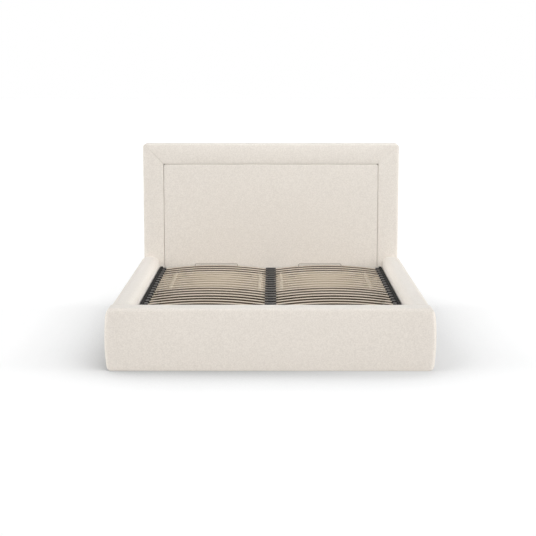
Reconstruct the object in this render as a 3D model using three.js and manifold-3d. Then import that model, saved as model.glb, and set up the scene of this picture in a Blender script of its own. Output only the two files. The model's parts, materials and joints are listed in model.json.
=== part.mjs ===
// An upholstered storage bed for a mattress of 1600 by 2000. Its sprung slatted frame lifts from the foot end on two
// gas struts and uncovers the box inside the base. Millimetres, +Z up, +Y towards the headboard, origin on the floor
// under the middle of the bed.
import * as THREE from "three";
import { mergeVertices } from "three/addons/utils/BufferGeometryUtils.js";
import Module from "manifold-3d";

const wasm = await Module();
wasm.setup();

// Sizes of the whole bed
const openingWidth = 1620; // between the side rails
const openingLength = 2040; // between the footboard and the headboard
const seatGap = 0.3; // between two pieces that touch
const overrun = 5; // how far a cutter passes the face that it cuts

// Upholstered rails round the base
const railThickness = 142.5;
const railHeight = 368;
const railTopRadius = 45;
const railBottomRadius = 26;
const railFaceCrown = 7.5; // swell of an outer face at half its height
const railInnerCover = 8; // padding between a board and the storage box
const railBoardThickness = 28;
const railTopPadding = 34;
const footCornerRadius = 30; // of the footboard's outer corners, seen from above
const footSeamRadius = 10; // of its corners where the side rails butt against it
const footBoardInset = 52; // from an end of the footboard to its board
const glideHeight = 6;
const glideRadius = 13;
const glideInset = 120; // from an end of a board to its glide

// Headboard, with a padded border of three lengths round a padded panel
const headWidth = 1847;
const headHeight = 1190;
const headThickness = 110;
const headCornerRadius = 30; // of the two upper corners, seen from the front
const headFrontRadius = 28;
const headBackRadius = 22;
const borderWidth = 148;
const borderGrooveRadius = 10; // of the soft edges on both sides of the groove
const borderEdgePadding = 16;
const borderBackLip = 60;
const panelPadding = 54;
const panelGroove = 1.2; // between the panel and the border, under their soft edges
const panelCornerRadius = 14; // of the panel's corners, seen from the front
const panelBottom = 45;
const backCoverThickness = 8;
const headGlideInset = 90;

// Steel brackets in the four corners of the base
const bracketThickness = 3;
const bracketLeg = 60;
const headBracketFlange = 24;
const bracketBottom = 90;
const bracketTop = 205;
const restTabWidth = 44;
const restTabLength = 54;
const bufferRadius = 13;
const bufferDomeShare = 0.3; // of the buffer's height

// Floor of the storage box
const battenWidth = 20;
const battenHeight = 27;
const floorThickness = 6;
const floorJointGap = 2; // between the two panels, and from each of them to the rails
const beamWidth = 60;
const beamFootLength = 80;
const beamFootInset = 140;

// Steel frame that carries the slats
const frameHeadGap = 16; // from the frame to the headboard
const frameFootGap = 24; // from the frame to the footboard
const tubeWall = 2;
const sideTubeWidth = 20;
const sideTubeHeight = 50;
const sideTubeBottom = 248;
const sideTubeGap = 5; // to the rails
const centreTubeWidth = 20;
const centreTubeHeight = 20;
const crossTubeWidth = 30;
const crossTubeHeight = 25;

// Cambered slats and their holders
const slatRows = 20;
const firstRowInset = 24; // from the frame's head end to the middle of the first row
const lastRowInset = 83.6; // from the frame's foot end to the middle of the last row
const slatWidth = 38;
const slatThickness = 7;
const slatRise = 29; // of the camber over a whole slat
const slatCrownTop = 309;
const slatInnerEnd = 14; // from the middle of the bed
const pocketDepth = 20;
const pocketClearance = 0.4;
const holderWall = 5;
const sideHolderDepth = 25;
const centreHolderHalf = 36.5;
const holderTop = 290;
const sideHolderBottom = 268;
const holderChamfer = 4;
const firstDoubledRow = 4;
const lastDoubledRow = 10;
const doubledGap = 1; // between a slat and the ends of the one below it
const doubledRise = 5; // of the lower slat's flatter camber
const doubledInnerInset = 12.5; // from the centre holder to the lower slat's end
const doubledOuterInset = 73; // from the side holder to its other end
const clipLength = 20;
const clipInset = 24; // from an end of the lower slat to a clip
const clipWall = 2;

// Wire hoops that keep the mattress from sliding to the headboard when the frame is up
const hoopWire = 5;
const hoopFromHeadboard = 67;
const hoopTop = 328;
const hoopFootWidth = 322;
const hoopTopWidth = 304;
const hoopCornerRadius = 14;
const leftHoopPlace = 395; // from the middle of the bed
const rightHoopPlace = 355;

// Lift hinges and gas struts
const pivotFromHeadboard = 180;
const pivotDrop = 15; // below the side tubes
const pivotPinRadius = 5;
const pivotHeadRadius = 9;
const pivotHeadThickness = 5;
const pivotBushRadius = 12;
const pinClearance = 0.35;
const lugThickness = 4;
const lugRadius = 15;
const lugInset = 4; // from a side tube's outer face to its lugs
const strutLugDrop = 24;
const strutLugRadius = 12;
const strutReach = 525; // from the pivot to the strut on the frame, towards the foot
const strutFootReach = 75; // from the pivot to the strut's lower end, towards the foot
const strutFootDrop = 150; // from the pivot down to the strut's lower end
const strutEyeRadius = 9;
const strutEyeWidth = 13.8;
const strutPinRadius = 4;
const strutShoulderRadius = 7;
const strutRadius = 11;
const strutBore = 9;
const strutBase = 10; // thickness of the cylinder's closed end
const strutGuide = 14; // length of the rod's guide in the cylinder's mouth
const strutCylinderLength = 320;
const strutNeckRadius = 6;
const strutRodRadius = 4;
const strutRodLength = 272;
const strutPistonLength = 14;
const plateWidth = 140;
const plateHeight = 202;
const plateCornerRadius = 24;
const platePivotFromEdge = 30;
const platePivotFromTop = 29;
const plateHoleRadius = 3.5;
const plateHoleInset = 18;

// Facets of an arc, of a round bar and of a wire
const arcSteps = 3;
const railSteps = 4;
const slatSteps = 5;
const roundSides = 16;
const wireSides = 8;
const wireSteps = 34;
const mergeDistance = 1e-4;

// Places worked out from the sizes
const bedLength = railThickness + openingLength + headThickness;
const railInner = openingWidth / 2;
const halfWidth = railInner + railThickness;
const headBack = bedLength / 2;
const headFront = headBack - headThickness;
const footInner = headFront - openingLength;
const boardInner = railInnerCover;
const boardOuter = railInnerCover + railBoardThickness;
const boardTop = railHeight - railTopPadding;
const headHalf = headWidth / 2;
const plateInner = railInner - seatGap - bracketThickness;
const floorBottom = glideHeight + battenHeight + seatGap;

const frameHead = headFront - frameHeadGap;
const frameFoot = footInner + frameFootGap;
const slatPitch = (frameHead - frameFoot - firstRowInset - lastRowInset) / (slatRows - 1);
const tubeOuter = railInner - sideTubeGap;
const tubeInner = tubeOuter - sideTubeWidth;
const crossTubeBottom = sideTubeBottom - seatGap - crossTubeHeight;
const slatOuterEnd = tubeInner - sideHolderDepth + pocketDepth;
const slatEndTop = slatCrownTop - slatRise;
const slatArc = arcBetween([slatInnerEnd, slatEndTop], [slatOuterEnd, slatEndTop], slatRise);
const holderLength = slatWidth + 2 * holderWall;
const centreHolderBottom = sideTubeBottom + centreTubeHeight + seatGap;

const pivotY = headFront - pivotFromHeadboard;
const pivotZ = sideTubeBottom - pivotDrop;
const strutLowY = pivotY - strutFootReach;
const strutLowZ = pivotZ - strutFootDrop;
const strutTopY = pivotY - strutReach;
const strutTopZ = sideTubeBottom - strutLugDrop;
const lugOuter = tubeOuter - lugInset;
const lugInner = lugOuter - lugThickness;
const strutShoulder = lugInner - lugThickness / 2;
const strutX = strutShoulder - seatGap - strutEyeWidth / 2;
const strutClosedLength = Math.hypot(strutLowY - strutTopY, strutTopZ - strutLowZ);
const strutAngle = Math.atan2(strutTopZ - strutLowZ, strutLowY - strutTopY);

// Colours of the finishes
const finishes = {
  upholstery: { color: 0xe9e2d8, roughness: 0.95, metalness: 0 },
  board: { color: 0xc8a878, roughness: 0.8, metalness: 0 },
  floor: { color: 0x7a5f45, roughness: 0.6, metalness: 0 },
  slat: { color: 0xc9b597, roughness: 0.55, metalness: 0 },
  frame: { color: 0x1c1c1e, roughness: 0.45, metalness: 0.6 },
  zinc: { color: 0xa9abad, roughness: 0.35, metalness: 0.9 },
  wire: { color: 0xb8b2a8, roughness: 0.35, metalness: 0.7 },
  cylinder: { color: 0x141416, roughness: 0.3, metalness: 0.5 },
  rod: { color: 0xc4c6c8, roughness: 0.15, metalness: 1 },
  nylon: { color: 0xe6e4de, roughness: 0.5, metalness: 0 },
  rubber: { color: 0x18181a, roughness: 0.9, metalness: 0 },
};

// Solids and meshes

function solidOf(geometry) {
  geometry.deleteAttribute("normal");
  geometry.deleteAttribute("uv");
  const merged = mergeVertices(geometry, mergeDistance);
  return new wasm.Manifold(
    new wasm.Mesh({
      numProp: 3,
      vertProperties: merged.attributes.position.array,
      triVerts: new Uint32Array(merged.index.array),
    }),
  );
}

function geometryOf(solid) {
  const mesh = solid.getMesh();
  const geometry = new THREE.BufferGeometry();
  geometry.setAttribute("position", new THREE.BufferAttribute(mesh.vertProperties, 3));
  geometry.setIndex(new THREE.BufferAttribute(mesh.triVerts, 1));
  geometry.computeVertexNormals();
  return geometry;
}

// The same piece for the other side of the bed
function mirrored(geometry) {
  const copy = geometry.clone().scale(-1, 1, 1);
  const corners = copy.index.array;
  for (let i = 0; i < corners.length; i += 3) {
    [corners[i + 1], corners[i + 2]] = [corners[i + 2], corners[i + 1]];
  }
  copy.computeVertexNormals();
  return copy;
}

function mesh(name, geometry, finish) {
  const material = new THREE.MeshStandardMaterial({ ...finishes[finish], flatShading: true });
  const made = new THREE.Mesh(geometry, material);
  made.name = name;
  return made;
}

function pair(name, solid, finish) {
  const right = geometryOf(solid);
  return [mesh(name("left"), mirrored(right), finish), mesh(name("right"), right, finish)];
}

function joined(solids) {
  return solids.reduce((whole, next) => whole.add(next));
}

function without(solid, cutters) {
  return cutters.reduce((left, next) => left.subtract(next), solid);
}

// Solids from outlines: drawn in (x, z) and run along Y, in (y, z) and run along X, or in (x, y) and run along Z

function extruded(outline, depth, steps = arcSteps) {
  return new THREE.ExtrudeGeometry(outline, { depth, bevelEnabled: false, curveSegments: steps });
}

function alongY(outline, from, to, steps) {
  return solidOf(
    extruded(outline, to - from, steps)
      .rotateX(Math.PI / 2)
      .translate(0, to, 0),
  );
}

function alongX(outline, from, to, steps) {
  const turn = new THREE.Matrix4().makeBasis(
    new THREE.Vector3(0, 1, 0),
    new THREE.Vector3(0, 0, 1),
    new THREE.Vector3(1, 0, 0),
  );
  return solidOf(
    extruded(outline, to - from, steps)
      .applyMatrix4(turn)
      .translate(from, 0, 0),
  );
}

function alongZ(outline, from, to, steps) {
  return solidOf(extruded(outline, to - from, steps).translate(0, 0, from));
}

function block(x, y, z) {
  const geometry = new THREE.BoxGeometry(x[1] - x[0], y[1] - y[0], z[1] - z[0]);
  return solidOf(geometry.translate((x[0] + x[1]) / 2, (y[0] + y[1]) / 2, (z[0] + z[1]) / 2));
}

// A round bar from one x to another
function crossBar(radius, from, to, y, z) {
  const geometry = new THREE.CylinderGeometry(radius, radius, to - from, roundSides);
  return solidOf(geometry.rotateZ(Math.PI / 2).translate((from + to) / 2, y, z));
}

// A round bar that stands on a height
function upright(radius, x, y, from, to) {
  const geometry = new THREE.CylinderGeometry(radius, radius, to - from, roundSides);
  return solidOf(geometry.rotateX(Math.PI / 2).translate(x, y, (from + to) / 2));
}

function rectangle(path, x, y) {
  path.moveTo(x[0], y[0]);
  path.lineTo(x[1], y[0]);
  path.lineTo(x[1], y[1]);
  path.lineTo(x[0], y[1]);
  path.closePath();
  return path;
}

// A rectangle whose corners have radii, given from the lower right one anticlockwise
function roundedRectangle(x, y, radii) {
  const [lowRight, highRight, highLeft, lowLeft] = radii;
  const outline = new THREE.Shape();
  outline.moveTo(x[0] + lowLeft, y[0]);
  outline.absarc(x[1] - lowRight, y[0] + lowRight, lowRight, -Math.PI / 2, 0, false);
  outline.absarc(x[1] - highRight, y[1] - highRight, highRight, 0, Math.PI / 2, false);
  outline.absarc(x[0] + highLeft, y[1] - highLeft, highLeft, Math.PI / 2, Math.PI, false);
  outline.absarc(x[0] + lowLeft, y[0] + lowLeft, lowLeft, Math.PI, 1.5 * Math.PI, false);
  return outline;
}

function tubeOutline(x, z) {
  const outline = rectangle(new THREE.Shape(), x, z);
  const insideX = [x[0] + tubeWall, x[1] - tubeWall];
  const insideZ = [z[0] + tubeWall, z[1] - tubeWall];
  outline.holes.push(rectangle(new THREE.Path(), insideX, insideZ));
  return outline;
}

// Rails of the base

// Section of a padded rail: across from its inner face, and up. The outer face swells.
function railOutline() {
  const face = railThickness - railFaceCrown;
  const faceBottom = glideHeight + railBottomRadius;
  const faceTop = railHeight - railTopRadius;
  const outline = new THREE.Shape();
  outline.moveTo(0, glideHeight);
  outline.lineTo(face - railBottomRadius, glideHeight);
  outline.absarc(face - railBottomRadius, faceBottom, railBottomRadius, -Math.PI / 2, 0, false);
  outline.quadraticCurveTo(face + 2 * railFaceCrown, (faceBottom + faceTop) / 2, face, faceTop);
  outline.absarc(face - railTopRadius, faceTop, railTopRadius, 0, Math.PI / 2, false);
  outline.absarc(railTopRadius, faceTop, railTopRadius, Math.PI / 2, Math.PI, false);
  outline.closePath();
  return outline;
}

// The footboard from the front: both ends swell as the side rails do
function footOutline() {
  const face = halfWidth - railFaceCrown;
  const low = glideHeight + railBottomRadius;
  const high = railHeight - railTopRadius;
  const middle = (low + high) / 2;
  const outline = new THREE.Shape();
  outline.absarc(face - railBottomRadius, low, railBottomRadius, -Math.PI / 2, 0, false);
  outline.quadraticCurveTo(face + 2 * railFaceCrown, middle, face, high);
  outline.absarc(face - railTopRadius, high, railTopRadius, 0, Math.PI / 2, false);
  outline.absarc(railTopRadius - face, high, railTopRadius, Math.PI / 2, Math.PI, false);
  outline.quadraticCurveTo(-face - 2 * railFaceCrown, middle, -face, low);
  outline.absarc(railBottomRadius - face, low, railBottomRadius, Math.PI, 1.5 * Math.PI, false);
  return outline;
}

function sideRailPad() {
  const y = [footInner + seatGap, headFront - seatGap];
  const pocket = block(
    [boardInner - seatGap, boardOuter + seatGap],
    [y[0] - overrun, y[1] + overrun],
    [glideHeight - overrun, boardTop + seatGap],
  );
  return alongY(railOutline(), y[0], y[1], railSteps).subtract(pocket);
}

function sideRailBoard() {
  const y = [footInner + seatGap, headFront - seatGap];
  const middle = (boardInner + boardOuter) / 2;
  return joined([
    block([boardInner, boardOuter], y, [glideHeight, boardTop]),
    ...[y[0] + glideInset, y[1] - glideInset].map((at) =>
      upright(glideRadius, middle, at, 0, glideHeight + overrun),
    ),
  ]);
}

function footPad() {
  const section = alongX(railOutline(), -halfWidth, halfWidth, railSteps);
  const front = alongY(footOutline(), 0, railThickness, railSteps);
  const corners = [footSeamRadius, footCornerRadius, footCornerRadius, footSeamRadius];
  const plan = alongZ(roundedRectangle([-halfWidth, halfWidth], [0, railThickness], corners), 0, railHeight);
  const end = footBoardLength() / 2 + seatGap;
  const pocket = block(
    [-end, end],
    [boardInner - seatGap, boardOuter + seatGap],
    [glideHeight - overrun, boardTop + seatGap],
  );
  return section.intersect(front).intersect(plan).subtract(pocket);
}

function footBoardLength() {
  return 2 * (halfWidth - footBoardInset);
}

function footBoard() {
  const half = footBoardLength() / 2;
  const middle = (boardInner + boardOuter) / 2;
  return joined([
    block([-half, half], [boardInner, boardOuter], [glideHeight, boardTop]),
    ...[glideInset - half, half - glideInset].map((at) =>
      upright(glideRadius, at, middle, 0, glideHeight + overrun),
    ),
  ]);
}

function buildRails() {
  const rails = new THREE.Group();
  const sideName = (piece) => (side) => `side_rail_${side}_${piece}`;
  const sides = [
    ...pair(sideName("board"), sideRailBoard(), "board"),
    ...pair(sideName("pad"), sideRailPad(), "upholstery"),
  ];
  for (const piece of sides) {
    piece.position.x = piece.name.includes("left") ? -railInner : railInner;
    rails.add(piece);
  }
  const foot = new THREE.Group();
  foot.add(mesh("foot_rail_board", geometryOf(footBoard()), "board"));
  foot.add(mesh("foot_rail_pad", geometryOf(footPad()), "upholstery"));
  foot.rotation.z = Math.PI;
  foot.position.y = footInner;
  rails.add(foot);
  return rails;
}

// Headboard. Its pieces are drawn with the back on y = 0 and the front towards +y, and the group turns them round.

// Section of the border: inwards from its outer edge, and forwards from the back. It wraps the edge of the board.
function borderOutline() {
  const boardBack = backCoverThickness;
  const boardFront = headThickness - panelPadding;
  const outline = new THREE.Shape();
  outline.moveTo(borderWidth, boardFront + seatGap);
  outline.lineTo(borderWidth, headThickness - borderGrooveRadius);
  outline.absarc(
    borderWidth - borderGrooveRadius,
    headThickness - borderGrooveRadius,
    borderGrooveRadius,
    0,
    Math.PI / 2,
    false,
  );
  outline.absarc(headFrontRadius, headThickness - headFrontRadius, headFrontRadius, Math.PI / 2, Math.PI, false);
  outline.absarc(headBackRadius, headBackRadius, headBackRadius, Math.PI, 1.5 * Math.PI, false);
  outline.lineTo(borderBackLip, 0);
  outline.lineTo(borderBackLip, boardBack - seatGap);
  outline.lineTo(borderEdgePadding - seatGap, boardBack - seatGap);
  outline.lineTo(borderEdgePadding - seatGap, boardFront + seatGap);
  outline.closePath();
  return outline;
}

// The half of the headboard's front view that lies beyond the mitre, above or beside it
function mitreWedge(above) {
  const outline = new THREE.Shape();
  const reach = headWidth;
  const step = seatGap / Math.SQRT2;
  const side = above ? -step : step;
  outline.moveTo(headHalf + reach + side, headHeight + reach);
  outline.lineTo(headHalf - reach + side, headHeight - reach);
  if (above) outline.lineTo(-reach, headHeight + reach);
  else outline.lineTo(headHalf + reach, headHeight - reach);
  outline.closePath();
  return alongY(outline, -overrun, headThickness + overrun);
}

function headOutline() {
  const radii = [seatGap, headCornerRadius, headCornerRadius, seatGap];
  return roundedRectangle([-headHalf, headHalf], [glideHeight, headHeight], radii);
}

function sideBorder() {
  const bar = alongZ(borderOutline(), glideHeight, headHeight);
  const placed = solidOf(geometryOf(bar).rotateY(Math.PI).translate(headHalf, 0, glideHeight + headHeight));
  return placed
    .intersect(alongY(headOutline(), -overrun, headThickness + overrun))
    .intersect(mitreWedge(false));
}

function topBorder() {
  const bar = alongZ(borderOutline(), -headHalf, headHalf);
  const turn = new THREE.Matrix4().makeBasis(
    new THREE.Vector3(0, 0, -1),
    new THREE.Vector3(0, 1, 0),
    new THREE.Vector3(1, 0, 0),
  );
  const placed = solidOf(geometryOf(bar).applyMatrix4(turn).translate(0, 0, headHeight));
  const wedge = mitreWedge(true);
  const otherWedge = solidOf(mirrored(geometryOf(wedge)));
  return placed
    .intersect(alongY(headOutline(), -overrun, headThickness + overrun))
    .intersect(wedge)
    .intersect(otherWedge);
}

function headPanel() {
  const half = headHalf - borderWidth - panelGroove;
  const top = headHeight - borderWidth - panelGroove;
  const radius = borderGrooveRadius;
  const z = [panelBottom + radius, top - radius];
  const corners = z.concat(z).fill(panelCornerRadius - radius);
  const outline = roundedRectangle([radius - half, half - radius], z, corners);
  const back = headThickness - panelPadding + seatGap;
  const geometry = new THREE.ExtrudeGeometry(outline, {
    depth: panelPadding - seatGap - 2 * radius,
    bevelEnabled: true,
    bevelThickness: radius,
    bevelSize: radius,
    bevelSegments: arcSteps,
    curveSegments: arcSteps,
  });
  return solidOf(geometry.rotateX(Math.PI / 2).translate(0, headThickness - radius, 0)).subtract(
    block([-half - overrun, half + overrun], [back - overrun, back], [0, headHeight]),
  );
}

function headBoard() {
  const half = headHalf - borderEdgePadding;
  const y = [backCoverThickness, headThickness - panelPadding];
  const middle = (y[0] + y[1]) / 2;
  return joined([
    block([-half, half], y, [glideHeight, headHeight - borderEdgePadding]),
    ...[headGlideInset - half, 0, half - headGlideInset].map((at) =>
      upright(glideRadius, at, middle, 0, glideHeight + overrun),
    ),
  ]);
}

function headBackCover() {
  const half = headHalf - borderBackLip - seatGap;
  const top = headHeight - borderBackLip - seatGap;
  return block([-half, half], [0, backCoverThickness - seatGap], [glideHeight, top]);
}

function buildHeadboard() {
  const headboard = new THREE.Group();
  headboard.add(mesh("headboard_board", geometryOf(headBoard()), "board"));
  headboard.add(mesh("headboard_back", geometryOf(headBackCover()), "upholstery"));
  headboard.add(mesh("headboard_panel", geometryOf(headPanel()), "upholstery"));
  headboard.add(mesh("headboard_border_top", geometryOf(topBorder()), "upholstery"));
  const side = geometryOf(sideBorder());
  headboard.add(mesh("headboard_border_left", side, "upholstery"));
  headboard.add(mesh("headboard_border_right", mirrored(side), "upholstery"));
  headboard.rotation.z = Math.PI;
  headboard.position.y = headBack;
  return headboard;
}

// Corner brackets, and the rubber buffers on which the closed frame rests

function headBracket() {
  const y = [headFront - seatGap - bracketLeg, headFront - seatGap];
  return joined([
    block([plateInner, plateInner + bracketThickness], y, [bracketBottom, bracketTop]),
    block([plateInner - headBracketFlange, plateInner + bracketThickness], [y[1] - bracketThickness, y[1]], [
      bracketBottom,
      bracketTop,
    ]),
  ]);
}

function footBracket() {
  const y = [footInner + seatGap, footInner + seatGap + bracketLeg];
  const outer = plateInner + bracketThickness;
  const tab = block([plateInner - restTabWidth, outer], [y[0], y[0] + restTabLength], [
    bracketTop - bracketThickness,
    bracketTop,
  ]);
  return joined([
    block([plateInner, outer], y, [bracketBottom, bracketTop]),
    block([plateInner - bracketLeg, outer], [y[0], y[0] + bracketThickness], [bracketBottom, bracketTop]),
    tab,
  ]);
}

function restBuffer() {
  const height = crossTubeBottom - bracketTop - 2 * seatGap;
  const dome = height * bufferDomeShare;
  const profile = new THREE.Path();
  profile.moveTo(0, 0);
  profile.lineTo(bufferRadius, 0);
  profile.lineTo(bufferRadius, height - dome);
  profile.lineTo(bufferRadius - dome, height);
  profile.lineTo(0, height);
  const geometry = new THREE.LatheGeometry(profile.getPoints(), roundSides);
  const place = [tubeOuter - sideTubeWidth / 2, frameFoot + crossTubeWidth / 2, bracketTop + seatGap];
  return solidOf(geometry.rotateX(Math.PI / 2).translate(...place));
}

function buildBrackets() {
  return [
    ...pair((side) => `corner_bracket_head_${side}`, headBracket(), "zinc"),
    ...pair((side) => `corner_bracket_foot_${side}`, footBracket(), "zinc"),
    ...pair((side) => `rest_buffer_${side}`, restBuffer(), "rubber"),
  ];
}

// Floor of the storage box

function floorBatten() {
  const outer = railInner - seatGap;
  return block(
    [outer - battenWidth, outer],
    [footInner + seatGap, headFront - seatGap],
    [glideHeight, glideHeight + battenHeight],
  );
}

function floorPanel() {
  return block(
    [floorJointGap / 2, railInner - floorJointGap],
    [footInner + floorJointGap, headFront - floorJointGap],
    [floorBottom, floorBottom + floorThickness],
  );
}

function floorBeam() {
  const half = beamWidth / 2;
  const y = [footInner + seatGap, headFront - seatGap];
  const feet = [y[0] + beamFootInset, 0, y[1] - beamFootInset];
  return joined([
    block([-half, half], y, [glideHeight, glideHeight + battenHeight]),
    ...feet.map((at) =>
      block([-half, half], [at - beamFootLength / 2, at + beamFootLength / 2], [0, glideHeight + overrun]),
    ),
  ]);
}

function buildFloor() {
  return [
    ...pair((side) => `floor_batten_${side}`, floorBatten(), "board"),
    ...pair((side) => `floor_panel_${side}`, floorPanel(), "floor"),
    mesh("floor_beam", geometryOf(floorBeam()), "board"),
  ];
}

// Slats. A band follows an arc between two places across the bed, at two depths below the arc.

// The arc that joins two points [x, z] and rises above the line between them
function arcBetween(start, end, rise) {
  const dx = end[0] - start[0];
  const dz = end[1] - start[1];
  const chord = Math.hypot(dx, dz);
  const radius = (chord * chord + 4 * rise * rise) / (8 * rise);
  const drop = (radius - rise) / chord;
  return { x: (start[0] + end[0]) / 2 + dz * drop, z: (start[1] + end[1]) / 2 - dx * drop, radius };
}

function heightOf(arc, x) {
  return arc.z + Math.sqrt(arc.radius * arc.radius - (x - arc.x) * (x - arc.x));
}

function bandOutline(arc, from, to, top, bottom) {
  const angle = (x) => Math.acos((x - arc.x) / arc.radius);
  const outline = new THREE.Shape();
  outline.absarc(arc.x, arc.z, arc.radius - top, angle(from), angle(to), true);
  outline.absarc(arc.x, arc.z, arc.radius - bottom, angle(to), angle(from), false);
  outline.closePath();
  return outline;
}

function band(arc, from, to) {
  return alongY(bandOutline(arc, from, to, 0, slatThickness), -slatWidth / 2, slatWidth / 2, slatSteps);
}

// A holder's section. Its upper corners are cut off: the left one always, the right one by the amount given.
function holderOutline(x, z, rightChamfer) {
  const outline = new THREE.Shape();
  outline.moveTo(x[0], z[0]);
  outline.lineTo(x[1], z[0]);
  outline.lineTo(x[1], z[1] - rightChamfer);
  outline.lineTo(x[1] - rightChamfer, z[1]);
  outline.lineTo(x[0] + holderChamfer, z[1]);
  outline.lineTo(x[0], z[1] - holderChamfer);
  outline.closePath();
  return outline;
}

// A second slat below the first, flatter than it, held to it near both ends by clips round both slats
function doubledSlat() {
  const from = centreHolderHalf + doubledInnerInset;
  const to = tubeInner - sideHolderDepth - doubledOuterInset;
  const top = (x) => heightOf(slatArc, x) - slatThickness - doubledGap;
  const arc = arcBetween([from, top(from)], [to, top(to)], doubledRise);
  const half = slatWidth / 2 + clipWall;
  const clips = [from + clipInset, to - clipInset].map((at) => {
    const x = [at - clipLength / 2, at + clipLength / 2];
    const low = Math.min(...x.map((end) => heightOf(arc, end))) - slatThickness - clipWall;
    const high = Math.max(...x.map((end) => heightOf(slatArc, end))) + clipWall;
    return block(x, [-half, half], [low, high]);
  });
  return [band(arc, from, to), ...clips];
}

// One row: a slat for each half of the bed and the double holder in the middle that carries both
function slatRow(doubled) {
  const half = [band(slatArc, slatInnerEnd, slatOuterEnd), ...(doubled ? doubledSlat() : [])];
  const right = joined(half);
  const left = solidOf(mirrored(geometryOf(right)));
  const x = [-centreHolderHalf, centreHolderHalf];
  const holder = alongY(
    holderOutline(x, [centreHolderBottom, holderTop], holderChamfer),
    -holderLength / 2,
    holderLength / 2,
  );
  return geometryOf(joined([holder, right, left]));
}

function rowPlace(row) {
  return frameHead - firstRowInset - row * slatPitch;
}

function buildSlats() {
  const single = slatRow(false);
  const doubled = slatRow(true);
  return Array.from({ length: slatRows }, (_, row) => {
    const number = row + 1;
    const isDoubled = number >= firstDoubledRow && number <= lastDoubledRow;
    const made = mesh(`slat_row_${String(number).padStart(2, "0")}`, isDoubled ? doubled : single, "slat");
    made.position.y = rowPlace(row);
    return made;
  });
}

// Steel frame

function sideHolder(y) {
  const x = [tubeInner - sideHolderDepth, tubeInner + tubeWall / 2];
  const body = alongY(
    holderOutline(x, [sideHolderBottom, holderTop], 0),
    y - holderLength / 2,
    y + holderLength / 2,
  );
  const width = slatWidth / 2 + pocketClearance;
  const pocket = alongY(
    bandOutline(
      slatArc,
      x[0] - overrun,
      slatOuterEnd + pocketClearance,
      -pocketClearance,
      slatThickness + pocketClearance,
    ),
    y - width,
    y + width,
    1,
  );
  return body.subtract(pocket);
}

// A lug below a side tube, rounded about its pivot
function lug(y, z, radius) {
  const outline = new THREE.Shape();
  const top = sideTubeBottom + tubeWall / 2;
  outline.moveTo(y + radius, top);
  outline.lineTo(y - radius, top);
  outline.absarc(y, z, radius, Math.PI, 2 * Math.PI, false);
  outline.closePath();
  return alongX(outline, lugInner, lugOuter);
}

function sideTube() {
  const z = [sideTubeBottom, sideTubeBottom + sideTubeHeight];
  const tube = alongY(tubeOutline([tubeInner, tubeOuter], z), frameFoot, frameHead);
  const holders = Array.from({ length: slatRows }, (_, row) => sideHolder(rowPlace(row)));
  const hole = crossBar(pivotPinRadius + pinClearance, lugInner - overrun, lugOuter + overrun, pivotY, pivotZ);
  return joined([
    tube,
    ...holders,
    lug(pivotY, pivotZ, lugRadius).subtract(hole),
    lug(strutTopY, strutTopZ, strutLugRadius),
    crossBar(strutShoulderRadius, strutShoulder, lugInner + lugThickness / 2, strutTopY, strutTopZ),
  ]);
}

function centreTube() {
  const half = centreTubeWidth / 2;
  return alongY(
    tubeOutline([-half, half], [sideTubeBottom, sideTubeBottom + centreTubeHeight]),
    frameFoot,
    frameHead,
  );
}

function crossTube(y) {
  const half = crossTubeWidth / 2;
  return alongX(
    tubeOutline([y - half, y + half], [crossTubeBottom, crossTubeBottom + crossTubeHeight]),
    -tubeOuter,
    tubeOuter,
  );
}

// A wire hoop in its own frame: its feet on z = 0, its legs leaning in
function hoop() {
  const foot = hoopFootWidth / 2;
  const shoulder = hoopTopWidth / 2;
  const height = hoopTop - hoopWire / 2 - sideTubeBottom - seatGap;
  const lean = ((foot - shoulder) * hoopCornerRadius) / height;
  const at = (x, z) => new THREE.Vector3(x, 0, z);
  const path = new THREE.CurvePath();
  path.add(new THREE.LineCurve3(at(-foot, 0), at(-shoulder - lean, height - hoopCornerRadius)));
  path.add(
    new THREE.QuadraticBezierCurve3(
      at(-shoulder - lean, height - hoopCornerRadius),
      at(-shoulder, height),
      at(hoopCornerRadius - shoulder, height),
    ),
  );
  path.add(new THREE.LineCurve3(at(hoopCornerRadius - shoulder, height), at(shoulder - hoopCornerRadius, height)));
  path.add(
    new THREE.QuadraticBezierCurve3(
      at(shoulder - hoopCornerRadius, height),
      at(shoulder, height),
      at(shoulder + lean, height - hoopCornerRadius),
    ),
  );
  path.add(new THREE.LineCurve3(at(shoulder + lean, height - hoopCornerRadius), at(foot, 0)));
  const section = new THREE.Shape().absarc(0, 0, hoopWire / 2, 0, 2 * Math.PI, false);
  const geometry = new THREE.ExtrudeGeometry(section, {
    steps: wireSteps,
    extrudePath: path,
    curveSegments: wireSides / 2,
  });
  return geometryOf(solidOf(geometry));
}

function buildHoops() {
  const places = { left: -leftHoopPlace, right: rightHoopPlace };
  return Object.entries(places).map(([side, x]) => {
    const made = mesh(`mattress_stop_${side}`, hoop(), "wire");
    made.position.set(x, headFront - hoopFromHeadboard, sideTubeBottom + seatGap);
    return made;
  });
}

function buildSlatFrame() {
  const frame = new THREE.Group();
  const crossPlaces = {
    head: headFront - hoopFromHeadboard,
    middle: (frameHead + frameFoot) / 2,
    foot: frameFoot + crossTubeWidth / 2,
  };
  frame.add(...pair((side) => `side_tube_${side}`, sideTube(), "frame"));
  frame.add(mesh("centre_tube", geometryOf(centreTube()), "frame"));
  for (const [name, y] of Object.entries(crossPlaces)) {
    frame.add(mesh(`cross_tube_${name}`, geometryOf(crossTube(y)), "frame"));
  }
  frame.add(...buildSlats(), ...buildHoops());
  return frame;
}

// Lift hinges: a plate on each rail with the frame's pivot pin and the strut's lower pin riveted in it

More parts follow.
